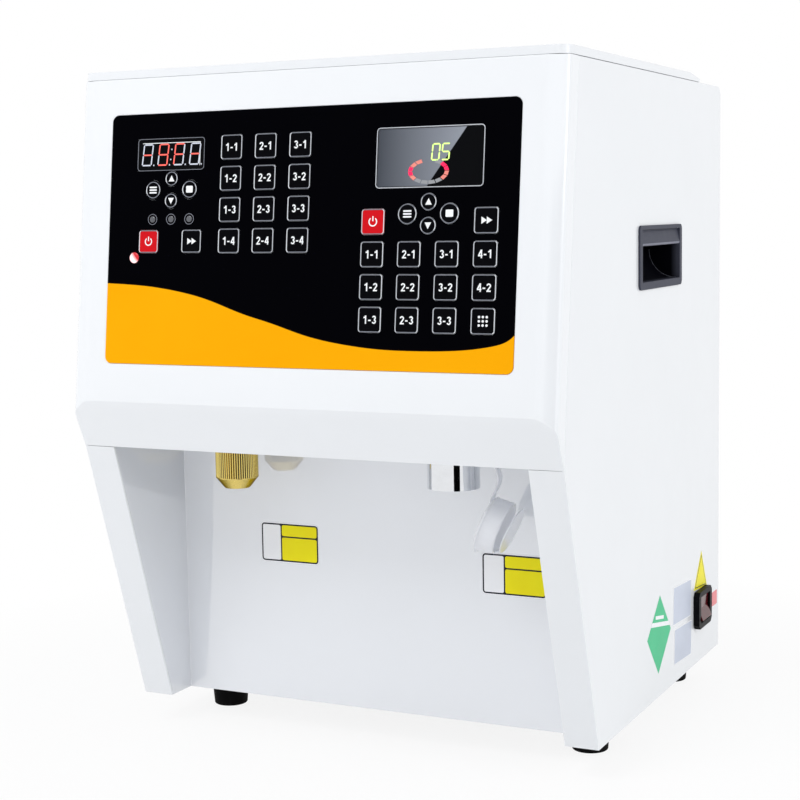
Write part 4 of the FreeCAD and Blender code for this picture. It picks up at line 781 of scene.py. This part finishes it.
def signParts(kind, half):
    # the mark on a key that has no figure
    thick = keys["print"]

    def copies(outline, spots):
        mesh = slab(outline, thick)
        return [(mesh, Matrix.Translation((half * x, half * y, 0))) for x, y in spots]

    if kind in ("up", "down"):
        wide, tall = (half * share for share in signs["arrow"])
        turn = Matrix.Rotation(0 if kind == "up" else math.pi, 4, "Z")
        return [(slab([(-wide, -tall), (wide, -tall), (0, wide)], thick), turn)]
    if kind == "power":
        # a broken ring with a stroke in its gap
        pen, ring, foot, top = (half * signs["power"] * share for share in signs["powerLine"])
        lines = (arcPoints(0, 0, ring, *signs["powerTurn"], 28), [(0, foot), (0, top)])
        return [(slab(stroke(line, pen), thick), Matrix()) for line in lines]
    if kind == "set":
        *shape, pitch = signs["bars"]
        return copies(roundedOutline(*(half * share for share in shape)), [(0, pitch), (0, 0), (0, -pitch)])
    if kind == "save":
        return copies(roundedOutline(*(half * share for share in signs["square"])), [(0, 0)])
    if kind == "run":
        left, right, tall = (half * share for share in signs["run"])
        return copies([(-left, -tall), (right, 0), (-left, tall)], [(x, 0) for x in signs["runPlaces"]])
    radius, pitch = signs["dots"]
    return copies(circleOutline(half * radius, 20),
                  [(pitch * x, pitch * y) for x in (-1, 0, 1) for y in (-1, 0, 1)])


def litSides(half, across):
    # painted light and shade: the upright sides of a rim are given lit colours, the brightest on the side
    # away from the middle, and the rest of the rim the shaded one
    outer = -1 if across < 0 else 1

    def rule(item):
        x = item.calc_center_median().x
        if abs(x) < half - 3 * keys["wire"]:
            return 1
        return 3 if x * outer > 0 else 2
    return rule


def printKey(node):
    # the raised rim of a key and its figure or sign
    across, down, half = keyPlace(node)
    top = onFace(across, down, face["keyProud"])
    kind = node.split("_")[-1]
    reach = half - keys["rimInset"]
    if kind in ("set", "save", "up", "down"):
        reach = half * keys["ringShare"][across > 0]
        rim = ringTree.mesh(Radius=reach, Wire=keys["wire"])
    else:
        rim = rimTree.mesh(Width=2 * reach, Height=2 * reach, Corner=keys["corner"], Wire=keys["wire"])
    if kind.isdigit():
        marks = label("-".join(node.split("_")[-2:]), keys["figureHeight"], keys["print"])
    else:
        marks = signParts(kind, half)
    parts = [(rim, top, litSides(reach, across))] + [(mesh, top @ place, 0) for mesh, place in marks]
    piece(node.replace("key_", "print_"), joined(parts), node,
          finishList("printWhite", "rimDim", "rimHalf", "rimBright"))
    dress(node, finishes["keyRed" if kind == "power" else "keyBlack"])


for node in sorted(nodes):
    if node.startswith("key_"):
        printKey(node)
print("keys printed")


# displays

led = {
    "across": -109 * mm,
    "down": 55.8 * mm,
    "digitWidth": 7.6 * mm,
    "digitHeight": 14.8 * mm,
    "pitch": 13.4 * mm,
    "first": -128.9 * mm,
    "digitDown": 55.9 * mm,
    "stroke": 1.0 * mm,
    "slant": 0.1,
    "pointAcross": 5.4 * mm,
    "pointDrop": 7.4 * mm,
    "pointRadius": 0.55 * mm,
    "colonRise": 3.6 * mm,
    "lit": ["g", "abcdfg", "aefg", "g"],
    "frame": (56.1 * mm, 22.7 * mm, 0.24 * mm),    # width, height, wire
    "frameRise": 0.15 * mm,
    "glint": (24.5 * mm, 8.3 * mm, 0.45 * mm),     # half width, half height, line
}
lcd = {
    "across": 95.3 * mm,
    "down": 63.5 * mm,
    "frame": (78.4 * mm, 40.2 * mm, 0.32 * mm),
    "digitWidth": 5.2 * mm,
    "digitHeight": 10.6 * mm,
    "figures": [(99.6 * mm, "abcdef"), (106.8 * mm, "acdfg")],
    "digitDown": 60.4 * mm,
    "stroke": 1.0 * mm,
    "slant": 0.08,
    "gauge": (94.6 * mm, 73.1 * mm, 12 * mm, 6.2 * mm, 3 * mm),    # place, inner half sizes, width
    "gaugeTurn": (110, 320),       # degrees: start and reach
    "gaugeShare": (0.06, 0.94),    # of a step
    "gaugeFlat": 0.8,              # the gauge is narrower above and below by this share
    "gaugeSteps": 14,
    "gaugeRed": (2, 3, 11, 12),
    "gaugePale": (0, 1, 4, 9, 10),
}
windowDepth = -0.1 * mm          # the windows' faces against the fascia's
frameCorner = 2.4 * mm
printed = 0.06 * mm
segmentGap = 0.18                # of a bar's width, open at each of its ends


def segment(start, end, width, thick):
    # one bar of a seven-segment figure, with pointed ends
    along = Vector(end) - Vector(start)
    unit = along.normalized()
    side = Vector((-unit.y, unit.x)) * width / 2
    gap = unit * width * segmentGap
    tip = unit * width / 2
    a, b = Vector(start) + gap, Vector(end) - gap
    ring = [a, a + tip - side, b - tip - side, b, b - tip + side, a + tip + side]
    return slab([(p.x, p.y) for p in ring], thick)


def figureSegments(width, height, bar, slant, thick):
    w, h = width / 2, height / 2
    corner = {"tl": (-w + slant * h, h), "tr": (w + slant * h, h), "ml": (-w, 0), "mr": (w, 0),
              "bl": (-w - slant * h, -h), "br": (w - slant * h, -h)}
    ends = {"a": ("tl", "tr"), "b": ("tr", "mr"), "c": ("mr", "br"), "d": ("bl", "br"),
            "e": ("ml", "bl"), "f": ("tl", "ml"), "g": ("ml", "mr")}
    return {key: segment(corner[one], corner[two], bar, thick) for key, (one, two) in ends.items()}


def ledParts():
    bars = figureSegments(led["digitWidth"], led["digitHeight"], led["stroke"], led["slant"], printed)
    point = slab(circleOutline(led["pointRadius"], 16), printed)
    first, pitch, down, rise = (led[key] for key in ("first", "pitch", "digitDown", "colonRise"))
    parts = []
    for number, lit in enumerate(led["lit"]):
        across = first + number * pitch
        parts += [(mesh, onFace(across, down, windowDepth), int(key in lit)) for key, mesh in bars.items()]
        parts.append((point, onFace(across + led["pointAcross"], down + led["pointDrop"], windowDepth), 0))
    return parts + [(point, onFace(first + pitch * 1.5 - up * led["slant"], down + up, windowDepth), 0)
                    for up in (-rise, rise)]


def lcdParts():
    bars = figureSegments(lcd["digitWidth"], lcd["digitHeight"], lcd["stroke"], lcd["slant"], printed)
    parts = [(bars[key], onFace(across, lcd["digitDown"], windowDepth), 2)
             for across, lit in lcd["figures"] for key in lit]
    across, down, wide, tall, thick = lcd["gauge"]
    first, reach = lcd["gaugeTurn"]
    for step in range(lcd["gaugeSteps"]):
        start, end = (math.radians(first + reach * (step + part) / lcd["gaugeSteps"])
                      for part in lcd["gaugeShare"])
        ring = [((wide + grow) * math.cos(angle), (tall + grow * lcd["gaugeFlat"]) * math.sin(angle))
                for grow, angle in ((0, start), (0, end), (thick, end), (thick, start))]
        shade = 3 if step in lcd["gaugeRed"] else (4 if step in lcd["gaugePale"] else 5)
        parts.append((slab(ring, printed), onFace(across, down, windowDepth), shade))
    return parts


def windowFrames():
    # a silver line round each window, and the glint of the left one's upper and right inner edges
    halfWide, halfTall, thin = led["glint"]
    glint = slab(stroke([(-halfWide, halfTall), (halfWide, halfTall)], thin), printed)
    glintSide = slab(stroke([(halfWide, halfTall), (halfWide, -halfTall)], thin), printed)
    parts = []
    for window, out, shade in ((led, windowDepth + led["frameRise"], 0), (lcd, face["overlayProud"], 2)):
        wide, tall, wire = window["frame"]
        parts.append((rimTree.mesh(Width=wide, Height=tall, Corner=frameCorner, Wire=wire),
                      onFace(window["across"], window["down"], out), shade))
    return parts + [(line, onFace(led["across"], led["down"], windowDepth), 1) for line in (glint, glintSide)]


piece("display_figures", joined(ledParts() + lcdParts()), "housing",
      finishList("segmentOff", "segmentRed", "digitGreen", "gaugeRed", "gaugePale", "gaugeGrey"))
piece("display_frames", joined(windowFrames()), "housing", finishList("rimDim", "printWhite", "rimHalf"))

glass = {             # painted reflection: the right window's paler half, cut on a slant
    "cut": (121.7 * mm, 44 * mm),        # a point of the slant: across and down
    "slope": 28.2 / 39.2,
    "cutEdge": 3000,
    "from": 30 * mm,                     # the left window keeps clear of it
    "fade": (56.5 * mm, 65 * mm),        # start and reach
    "dark": rgb(3, 4, 7),
    "pale": (rgb(72, 76, 84), rgb(150, 155, 165)),
}


def glassFinish():
    made = Finish("DisplayGlass", **{"Specular IOR Level": 0.05})
    x, y, z = made.axes()
    cut, cutDown = glass["cut"]
    start, reach = glass["fade"]
    slant = x + ((face["topZ"] - z) / math.cos(lean) - cutDown) * glass["slope"]
    # painted reflection: on the right window, left of the slant, a grey that grows paler to the right
    left = (cut - slant).ramped(glass["cutEdge"])
    reflectionGrey = made.mix((x - start) / reach, *glass["pale"])
    return made.surface(made.mix(left * (x > glass["from"]), glass["dark"], reflectionGrey),
                        made.spread(made.noise(80), 0.12, 0.2), made.noise(1200, 2), 0.02, 0.05 * mm)


dress("display_board", glassFinish())
print("displays lit")


# lamps on the overlay

lamps = {
    "rings": [(-122.7 * mm, 102.3 * mm), (-107.1 * mm, 102.3 * mm), (-91.7 * mm, 102.3 * mm)],
    "radius": 3.7 * mm,
    "ringWire": 0.22 * mm,
    "domeShare": 0.62,
    "domeHeight": 0.5 * mm,
    "lens": (-137.4 * mm, 129.8 * mm, 3.9 * mm),
    "lensHeight": 0.9 * mm,
    "lensShade": (320, 0.8 * mm),        # how sharp its shaded side begins, and where
}


def lensMesh(radius, height):
    steps = 6
    quarter = [math.radians(90 * n / steps) for n in range(steps)]
    return lathe([(0, 0)] + [(radius * math.cos(angle), height * math.sin(angle)) for angle in quarter]
                 + [(0, height)], 32)


def litLensFinish():
    made = Finish("LitLens", **{"Emission Strength": 0.7})
    x, y, z = made.axes()
    across, down, radius = lamps["lens"]
    centre = onFace(across, down).translation
    edge, middle = lamps["lensShade"]
    shade = ((z - centre.z) * 0.8 + (x - centre.x)).ramped(edge, middle)
    colour = made.mix(shade, rgb(255, 206, 206), rgb(176, 22, 34))
    made.use({"Emission Color": colour})
    return made.surface(colour, 0.15, made.noise(600), 0.05, 0.1 * mm)


def addOverlayLamps():
    proud = face["overlayProud"]
    spots = [onFace(across, down, proud) for across, down in lamps["rings"]]
    ring = ringTree.mesh(Radius=lamps["radius"], Wire=lamps["ringWire"])
    dome = lensMesh(lamps["radius"] * lamps["domeShare"], lamps["domeHeight"])
    piece("lamp_rings", joined([(ring, spot, 0) for spot in spots]), "housing", finishes["rimDim"])
    piece("lamp_domes", joined([(dome, spot, 0) for spot in spots]), "housing",
          plastic("LampSmoke", rgb(74, 76, 82), 0.1, 0.05, 1800, 0.8))
    across, down, radius = lamps["lens"]
    lens = lensMesh(radius, lamps["lensHeight"])
    piece("status_lens", joined([(lens, onFace(across, down, proud), 0)]), "housing", litLensFinish())


addOverlayLamps()


# brass nozzle with a straight knurl

nozzle = {
    "across": -88.7 * mm,
    "back": -132.65 * mm,
    "tip": 198.7 * mm,
    "top": 235.7 * mm,
    "radius": 15.35 * mm,        # at the foot of the ribs
    "tipRadius": 9.8 * mm,
    "taper": 7.5 * mm,
    "ribs": 56,
    "rib": 0.62 * mm,
    "bore": 4 * mm,
    "boreEdge": 0.6 * mm,
    "tipEdge": (0.5 * mm, 0.4 * mm),
    "crown": [(-0.4 * mm, 0), (0, 0.3 * mm), (0, 0.9 * mm)],     # edge over the taper: out and up
    "ribGap": (0.9 * mm, 1.3 * mm, 1 * mm),      # where ribs and barrel start, and what the ribs lack
    "stemRadius": 8 * mm,
    "stemLength": 15.5 * mm,
}


def knurlRecipe():
    # straight ribs round a barrel: one rounded bar instanced on a ring
    tree = Recipe("StraightKnurl", Ribs=nozzle["ribs"], Radius=nozzle["radius"], Size=nozzle["rib"],
                  Length=30 * mm)
    ring = tree.node("GeometryNodeMeshCircle",
                     inputs={"Vertices": tree.given("Ribs"), "Radius": tree.given("Radius")})
    return tree.instanced(ring, tree.node("GeometryNodeMeshCylinder", inputs={
        "Vertices": 8, "Radius": tree.given("Size"), "Depth": tree.given("Length")}, output="Mesh"))


def nozzleMesh():
    bore, tip, wall, taper, stem, stemLength = (nozzle[key] for key in (
        "bore", "tipRadius", "radius", "taper", "stemRadius", "stemLength"))
    height = nozzle["top"] - nozzle["tip"]
    crown = wall + nozzle["rib"]
    edge = nozzle["boreEdge"]
    inward, rise = nozzle["tipEdge"]
    ribStart, wallStart, short = nozzle["ribGap"]
    cone = ([(bore, edge), (bore + edge, 0), (tip - inward, 0), (tip, rise)]
            + [(crown + out, taper + up) for out, up in nozzle["crown"]] + [(wall, taper + wallStart)])
    barrel = [cone[-1], (wall, height), (bore, height), cone[0]]
    stemLine = [(bore, 0), (stem, 0), (stem, stemLength), (bore, stemLength), (bore, 0)]
    ribLength = height - taper - short
    ribs = knurlRecipe().mesh(Length=ribLength)
    at = Matrix.Translation((nozzle["across"], nozzle["back"], nozzle["tip"]))

    def raised(up):
        return at @ Matrix.Translation((0, 0, up))

    # the barrel between the ribs takes the dark brass: painted shade in the grooves
    return joined([(lathe(cone, 96), at, 0), (lathe(barrel, 96), at, 1),
                   (ribs, raised(taper + ribStart + ribLength / 2), 0),
                   (lathe(stemLine, 40), raised(height), 0)])


nozzleMade = piece("nozzle_finished", nozzleMesh(), "housing", finishList("brass", "brassGrooveShade"))
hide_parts("syrup_nozzle")
print("nozzle knurled")


# switch rocker

def rockerFinish():
    made = Finish("RockerRed", **{"Coat Weight": 0.2, "Coat Roughness": 0.06, "Specular IOR Level": 0.25})
    return made.surface(made.mix(made.noise(90), rgb(66, 6, 14), rgb(92, 10, 20)), 0.16,
                        made.noise(500), 0.04, 0.1 * mm)


softEdges("power_rocker", "rocker", rockerFinish(), 0.5 * mm)


# silicone: the hoses inside and the hanging cap

def siliconeFinish(name, clearness, colour, paintedGlow=0.0):
    # paintedGlow gives the silicone a faint bluish white glow of its own: painted light
    made = Finish(name, IOR=1.41, **{
        "Transmission Weight": clearness, "Coat Weight": 0.3, "Coat Roughness": 0.15,
        "Emission Color": (0.93, 0.96, 1.0, 1.0), "Emission Strength": paintedGlow})
    return made.surface(made.mix(made.noise(50), colour, shaded(colour, 0.93)), 0.28,
                        made.noise(400, 2), 0.05, 0.2 * mm)


hoses = {
    "radius": 6 * mm,
    "bend": 25 * mm,
    "supply": [(-110, 40, 132.5), (-110, 40, 273)],          # in mm
    "delivery": [(-110, 22, 132.5), (-110, 22, 277.5), (-88.7, -132.65, 277.5),
                 (-88.7, -132.65, 251.5)],
}


def hoseRecipe():
    # a round hose along the line that it is given, with its bends rounded
    tree = Recipe("RoundHose", Radius=hoses["radius"], Bend=hoses["bend"])
    line = tree.node("GeometryNodeMeshToCurve", inputs={"Mesh": tree.given("Geometry")})
    line = tree.node("GeometryNodeFilletCurve", {"mode": "POLY"},
                     {"Curve": line, "Radius": tree.given("Bend"), "Count": 16})
    return tree.swept(line, "Radius", 28, True)


def lineMesh(points):
    made = bpy.data.meshes.new("line")
    made.from_pydata([[part * mm for part in point] for point in points],
                     [(n, n + 1) for n in range(len(points) - 1)], [])
    return made


hoseTree = hoseRecipe()
hoseParts = [(hoseTree.mesh(lineMesh(hoses[name])), Matrix(), 0) for name in ("supply", "delivery")]
hosesMade = piece("syrup_hose_finished", joined(hoseParts), "housing",
                  siliconeFinish("HoseSilicone", 0.5, rgb(232, 234, 232)), 50)
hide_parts("syrup_hose")

cap = {              # in mm, from the hinge: X right and Z up
    "pivot": (120.5, -132.65, 233.7),
    "disc": (-7.5, -49.6),
    "lean": 21.5,            # degrees that the cup's axis dips to the right
    "turn": 6.5,             # degrees that the whole is twisted on its strap
    "cup": [(-2.6, 0, 0), (-2.4, 0, 6), (-1.8, 0, 12), (-0.8, 0, 17), (0.2, 0, 20), (0.8, 0.1, 20.8),
            (1.5, 0.2, 20.8), (1.9, 0.4, 20.3), (2.6, 0.8, 20.0), (8, 1.7, 19.7), (12.5, 2.4, 19.4),
            (13.8, 2.6, 19.0), (14.2, 2.7, 18.4), (13.8, 2.6, 17.8), (12, 2.3, 17.6), (4, 1.2, 17.8),
            (2.2, 0.8, 16.5), (0.8, 0.2, 12), (-0.6, 0, 6), (-1.0, 0, 0)],     # along, shift, radius
    "leafPlace": (18.9, 3.3),
    "leafTurn": (-1.5, 4.0),     # degrees, toward the front and down
    "leaf": [(0, 0), (0, 15.5), (0.2, 17), (0.6, 17.2), (1.0, 17), (1.2, 15.5), (1.2, 0)],
    "neck": [(13.5, -16), (18.2, -12.6)],
    "neckSize": (8, 1.4),
    "strap": [(0.3, 0), (0.6, -5), (1.1, -8), (2.4, -11.7), (3.6, -16), (3.1, -19.7), (2.2, -22.2),
              (-0.7, -28.3), (-2.0, -31.4), (-2.6, -34)],
    "strapSize": (9, 1.6),
    "eyeRadius": 2,
    "sides": 72,
}


def capFrame(more=0.0):
    # the disc's middle, the way along the cup's axis, and the way up its face
    dip = math.radians(cap["lean"] + more)
    along = Vector((math.cos(dip), 0, -math.sin(dip)))
    upward = Vector((math.sin(dip), 0, math.cos(dip)))
    return Vector((cap["disc"][0], 0, cap["disc"][1])), along, upward


def capRing(centre, radius, upward, sideways):
    if not radius:
        return [centre]
    return [centre + upward * x + sideways * y for x, y in circleOutline(radius, cap["sides"])]


def cupRings():
    start, along, upward = capFrame()
    return [capRing(start + along * far + upward * shift, radius, upward, Vector((0, 1, 0)))
            for far, shift, radius in cap["cup"]]


def leafRings():
    # the leaf hangs at a turn of its own
    start, along, upward = capFrame()
    place, shift = cap["leafPlace"]
    turn, dip = cap["leafTurn"]
    middle = start + along * place + upward * shift
    start, along, upward = capFrame(dip)
    turn = math.radians(turn)
    sideways = Vector((0, math.cos(turn), 0)) - along * math.sin(turn)
    outward = -upward.cross(sideways).normalized()
    return [capRing(middle + outward * far, radius, upward, sideways) for far, radius in cap["leaf"]]


def band(points, wide, thick):
    # a strap of a width along Y that follows points in X and Z, with its edges rounded
    spots = [Vector((x, 0, z)) for x, z in points]
    rings = []
    for number, spot in enumerate(spots):
        way = spots[min(number + 1, len(spots) - 1)] - spots[max(number - 1, 0)]
        side = Vector((way.z, 0, -way.x)).normalized()
        rings.append([spot + side * x + Vector((0, y, 0))
                      for x, y in roundedOutline(thick, wide, thick * 0.45, 3)])
    return bridged([spots[:1]] + rings + [spots[-1:]])


def eased(points, steps=4):
    # points filled in between along a smooth curve
    made = []
    for n in range(len(points) - 1):
        a, b, c, d = (Vector(points[min(max(n + k, 0), len(points) - 1)]) for k in (-1, 0, 1, 2))
        for step in range(steps):
            t = step / steps
            made.append(0.5 * (2 * b + (c - a) * t + (2 * a - 5 * b + 4 * c - d) * t * t
                               + (3 * b - a - 3 * c + d) * t ** 3))
    return [tuple(spot) for spot in made + [Vector(points[-1])]]


def capMesh():
    start, along, upward = capFrame()
    neck = [start + along * far + upward * away for far, away in cap["neck"]]
    neck = band([(spot.x, spot.z) for spot in neck], *cap["neckSize"])
    strap = band(eased(cap["strap"]), *cap["strapSize"])
    radius, half = cap["eyeRadius"], cap["strapSize"][0] / 2
    eye = lathe([(0, -half), (radius, -half), (radius, half), (0, half)], 32)
    whole = joined([(mesh, Matrix(), 0) for mesh in (bridged(cupRings()), bridged(leafRings()), neck, strap)]
                   + [(eye, Matrix.Rotation(math.pi / 2, 4, "X"), 0)])
    whole.transform(Matrix.Translation([part * mm for part in cap["pivot"]])
                    @ Matrix.Rotation(math.radians(cap["turn"]), 4, "Z") @ Matrix.Scale(mm, 4))
    return whole


# the cap's silicone glows faintly: painted light
capMade = piece("spout_cap_finished", capMesh(), "cap",
                siliconeFinish("CapSilicone", 0.35, rgb(250, 251, 255), 0.05), 40)
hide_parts("spout_cap")
print("hoses and cap made")


# plain stickers

stickers = {
    "wall": -88.45 * mm,
    "thick": 0.15 * mm,
    "over": 0.05 * mm,           # each print stands this much over the one below
    "corner": 3 * mm,
    "margin": 0.5 * mm,
    "line": 1.15 * mm,
    "rulePlace": 0.65,
    "left": (-95.3 * mm, -44.7 * mm, 133.5 * mm, 164.2 * mm, -77.4 * mm),    # ends, heights, split
    "right": (91 * mm, 141.6 * mm, 123 * mm, 153.7 * mm, 108.8 * mm),
}
paper = {
    "white": plastic("LabelWhite", rgb(249, 250, 254), 0.38, 0.04, 1500, 0.2),
    "line": plastic("LabelLine", rgb(24, 26, 38), 0.4, 0.04, 1500, 0.2),
    "yellow": plastic("LabelYellow", rgb(246, 226, 16), 0.38, 0.04, 1500, 0.2),
    "silver": plastic("LabelSilver", rgb(196, 202, 216), 0.35, 0.04, 1500, 0.2),
    "green": plastic("LabelGreen", rgb(56, 188, 132), 0.35, 0.04, 1500, 0.2),
    "pink": plastic("LabelPink", rgb(232, 138, 142), 0.4, 0.04, 1500, 0.2),
}
paperOrder = list(paper)


def plate(left, low, right, high, level, radius, turned, colour):
    # one flat layer of a sticker, for joined
    mesh = slab(roundedOutline(right - left, high - low, radius),
                stickers["thick"] + level * stickers["over"])
    return (mesh, turned((left + right) / 2, (low + high) / 2), paperOrder.index(colour))


def onWall(across, high):
    return upright(across, stickers["wall"], high)


def wallSticker(name, left, right, low, high, split):
    # a white plate, its dark line, and three fields inside the line
    corner, margin, line = (stickers[key] for key in ("corner", "margin", "line"))
    rule = low + (high - low) * stickers["rulePlace"]
    inset = margin + line
    layers = [(left, low, right, high, 0, 0, "white"),
              (left + margin, low + margin, right - margin, high - margin, 1, margin, "line"),
              (left + inset, low + inset, split - line / 2, high - inset, 2, inset, "white"),
              (split + line / 2, rule + line / 2, right - inset, high - inset, 2, inset, "yellow"),
              (split + line / 2, low + inset, right - inset, rule - line / 2, 2, inset, "yellow")]
    parts = [plate(x0, z0, x1, z1, level, corner - less, onWall, colour)
             for x0, z0, x1, z1, level, less, colour in layers]
    piece(name, joined(parts), "housing", list(paper.values()))


for way in ("left", "right"):
    wallSticker("bay_label_" + way, *stickers[way])

sideLabel = {         # in mm: Y and Z on the right side
    "x": 190,
    "plates": [(63.5, 113.5, 71, 101.5), (66.5, 114.5, 38.5, 67)],
    "plateTurn": -3.2,       # degrees, as they are stuck on
    "frame": 1.2,
    "corner": (1, 0.6, 0.3),             # of a plate, its inner plate, and the bar
    "diamond": (26, 74.3, 30.3, -3.6),
    "diamondBand": (8, 3.4, -6.5),       # rise, height, and turn against the diamond
    "diamondBar": (13.4, 2.7, 21),
    "tab": (178, 193, 62.5, 74.5),
    "triangle": (141.5, 86.5, 19.5, 31, -4.7),
    "triangleLine": (0.86, 0.79),
}


def onSide(back, high, turn=0.0):
    return (upright(sideLabel["x"] * mm, back * mm, high * mm, (1, 0, 0))
            @ Matrix.Rotation(math.radians(turn), 4, "Z"))


def sideLabels():
    parts = []

    def add(outline, place, colour, level=0):
        # the outline is in mm
        mesh = slab([(x * mm, y * mm) for x, y in outline], stickers["thick"] + level * stickers["over"])
        parts.append((mesh, place, paperOrder.index(colour)))

    outer, inner, small = sideLabel["corner"]
    for back0, back1, low, high in sideLabel["plates"]:
        wide, tall = back1 - back0, high - low
        place = onSide((back0 + back1) / 2, (low + high) / 2, sideLabel["plateTurn"])
        add(roundedOutline(wide, tall, outer), place, "white")
        add(roundedOutline(wide - sideLabel["frame"], tall - sideLabel["frame"], inner), place, "silver", 1)

    back, high, half, turn = sideLabel["diamond"]
    place = onSide(back, high, turn)
    add([(half, 0), (0, half), (-half, 0), (0, -half)], place, "green")
    rise, tall, tilt = sideLabel["diamondBand"]
    slope = math.tan(math.radians(tilt))
    spots = []
    for level, ways in ((rise - tall / 2, (-1, 1)), (rise + tall / 2, (1, -1))):
        for way in ways:
            x = way * (half - level) / (1 + way * slope)
            spots.append((x, level + slope * x))
    add(spots, place, "white", 1)
    rise, tall, wide = sideLabel["diamondBar"]
    lift = Matrix.Translation((0, rise * mm, 0)) @ Matrix.Rotation(math.radians(tilt), 4, "Z")
    add(roundedOutline(wide, tall, small), place @ lift, "white", 1)

    back0, back1, low, high = sideLabel["tab"]
    place = onSide((back0 + back1) / 2, (low + high) / 2)
    add(roundedOutline(back1 - back0, high - low, outer), place, "pink")

    back, foot, half, tall, turn = sideLabel["triangle"]
    place = onSide(back, foot, turn)
    outer, inner = sideLabel["triangleLine"]
    for share, level, colour in ((1, 0, "yellow"), (outer, 1, "line"), (inner, 2, "yellow")):
        add([(x * share, tall / 3 + (y - tall / 3) * share) for x, y in ((-half, 0), (half, 0), (0, tall))],
            place, colour, level)
    piece("side_labels", joined(parts), "housing", list(paper.values()))


sideLabels()
print("labels placed")


# camera

view = {
    "place": (564.7 * mm, -1197.0 * mm, 402.1 * mm),
    "turn": 25.891,       # degrees to the left of straight ahead
    "tilt": 6.419,        # degrees down
    "roll": -0.973,
    "lens": 75.36,
    "sensor": 36,
}


def addCamera():
    turn, tilt, roll = (math.radians(view[key]) for key in ("turn", "tilt", "roll"))
    data = bpy.data.cameras.new("camera")
    data.lens = view["lens"]
    data.sensor_width = view["sensor"]
    data.clip_end = 50
    camera = linked("camera", data)
    camera.matrix_world = (Matrix.Translation(view["place"]) @ Matrix.Rotation(turn, 4, "Z")
                           @ Matrix.Rotation(math.pi / 2 - tilt, 4, "X") @ Matrix.Rotation(roll, 4, "Z"))
    bpy.context.scene.camera = camera


addCamera()


# light and floor

studio = {
    "world": (0.57, (0.955, 0.977, 1.0)),
    "lamps": {       # place, size, watts
        "high": ((-0.4, -1.8, 2.4), 1.0, 26.6),
        "side": ((2.4, -0.3, 1.3), 1.2, 20),
        "fill": ((-1.2, -1.0, 0.3), 0.7, 3),
    },
    "aim": (0, 0, 0.28),
    "card": ((0.505, -1.042), (0.869, -0.758), 0.6),    # ends on the floor, and height
    "floorWhite": 0.86,           # how white the floor is seen under the object
    "floorFade": 0.45,
    "floorReach": 1.1,
    "floorDrop": -0.2 * mm,       # clear of the feet
}


def addLamps():
    for name, (spot, size, watts) in studio["lamps"].items():
        data = bpy.data.lights.new(name, "AREA")
        data.shape = "RECTANGLE"
        data.size = data.size_y = size
        data.energy = watts
        lamp = linked(name, data)
        lamp.location = spot
        lamp.visible_glossy = name != "fill"
        lamp.rotation_euler = (Vector(studio["aim"]) - Vector(spot)).to_track_quat("-Z", "Y").to_euler()


def seenMask(graph):
    # camera, glossy and transmitted rays see plain white
    camera, glossy, passed = (graph.node("ShaderNodeLightPath", output="Is " + kind + " Ray")
                              for kind in ("Camera", "Glossy", "Transmission"))
    return graph.maths("MAXIMUM", graph.maths("MAXIMUM", camera, glossy), passed)


def addWorld():
    world = bpy.data.worlds.new("studio")
    bpy.context.scene.world = world
    world.use_nodes = True
    graph = Graph(world.node_tree)
    world.node_tree.nodes.clear()
    seen = seenMask(graph)
    level, tint = studio["world"]
    back = graph.node("ShaderNodeBackground", inputs={
        "Color": graph.mix(seen, tint + (1,), (1, 1, 1, 1)), "Strength": seen * (1 - level) + level})
    out = world.node_tree.nodes.new("ShaderNodeOutputWorld")
    world.node_tree.links.new(back.socket, out.inputs[0])


def addFloor():
    work = bmesh.new()
    bmesh.ops.create_grid(work, x_segments=1, y_segments=1, size=12)
    mesh = fromWork(work, "floor")
    floor = linked("floor", mesh)
    floor.location.z = studio["floorDrop"]
    made = Finish("FloorWhite", Roughness=0.6)
    made.use({"Base Color": made.mix(made.noise(3), (0.9, 0.9, 0.9, 1), (0.88, 0.88, 0.885, 1))})
    x, y, z = made.axes()
    fade = made.clamped((x * x + y * y) / studio["floorReach"], studio["floorFade"], studio["floorWhite"])
    white = made.node("ShaderNodeEmission", inputs={"Color": (1, 1, 1, 1), "Strength": 1.0})
    both = made.node("ShaderNodeMixShader", inputs={0: seenMask(made) * fade,
                                                    1: Signal(made, made.shader.outputs[0]), 2: white})
    made.tree.links.new(both.socket, made.output.inputs[0])
    mesh.materials.append(made.material)


def addCard():
    # a dark card that only shows in what chrome and gloss mirror
    one, two, height = studio["card"]
    work = bmesh.new()
    corners = [(*one, 0), (*two, 0), (*two, height), (*one, height)]
    work.faces.new([work.verts.new(corner) for corner in corners])
    mesh = fromWork(work, "dark_card")
    card = linked("dark_card", mesh)
    mesh.materials.append(plastic("CardBlack", rgb(3, 3, 3), 0.9, 0.05, 900, 0.0))
    for ray in ("camera", "diffuse", "transmission", "shadow", "volume_scatter"):
        setattr(card, "visible_" + ray, False)


addLamps()
addWorld()
addFloor()
addCard()
bpy.context.scene.view_settings.view_transform = "Standard"
print("studio set")
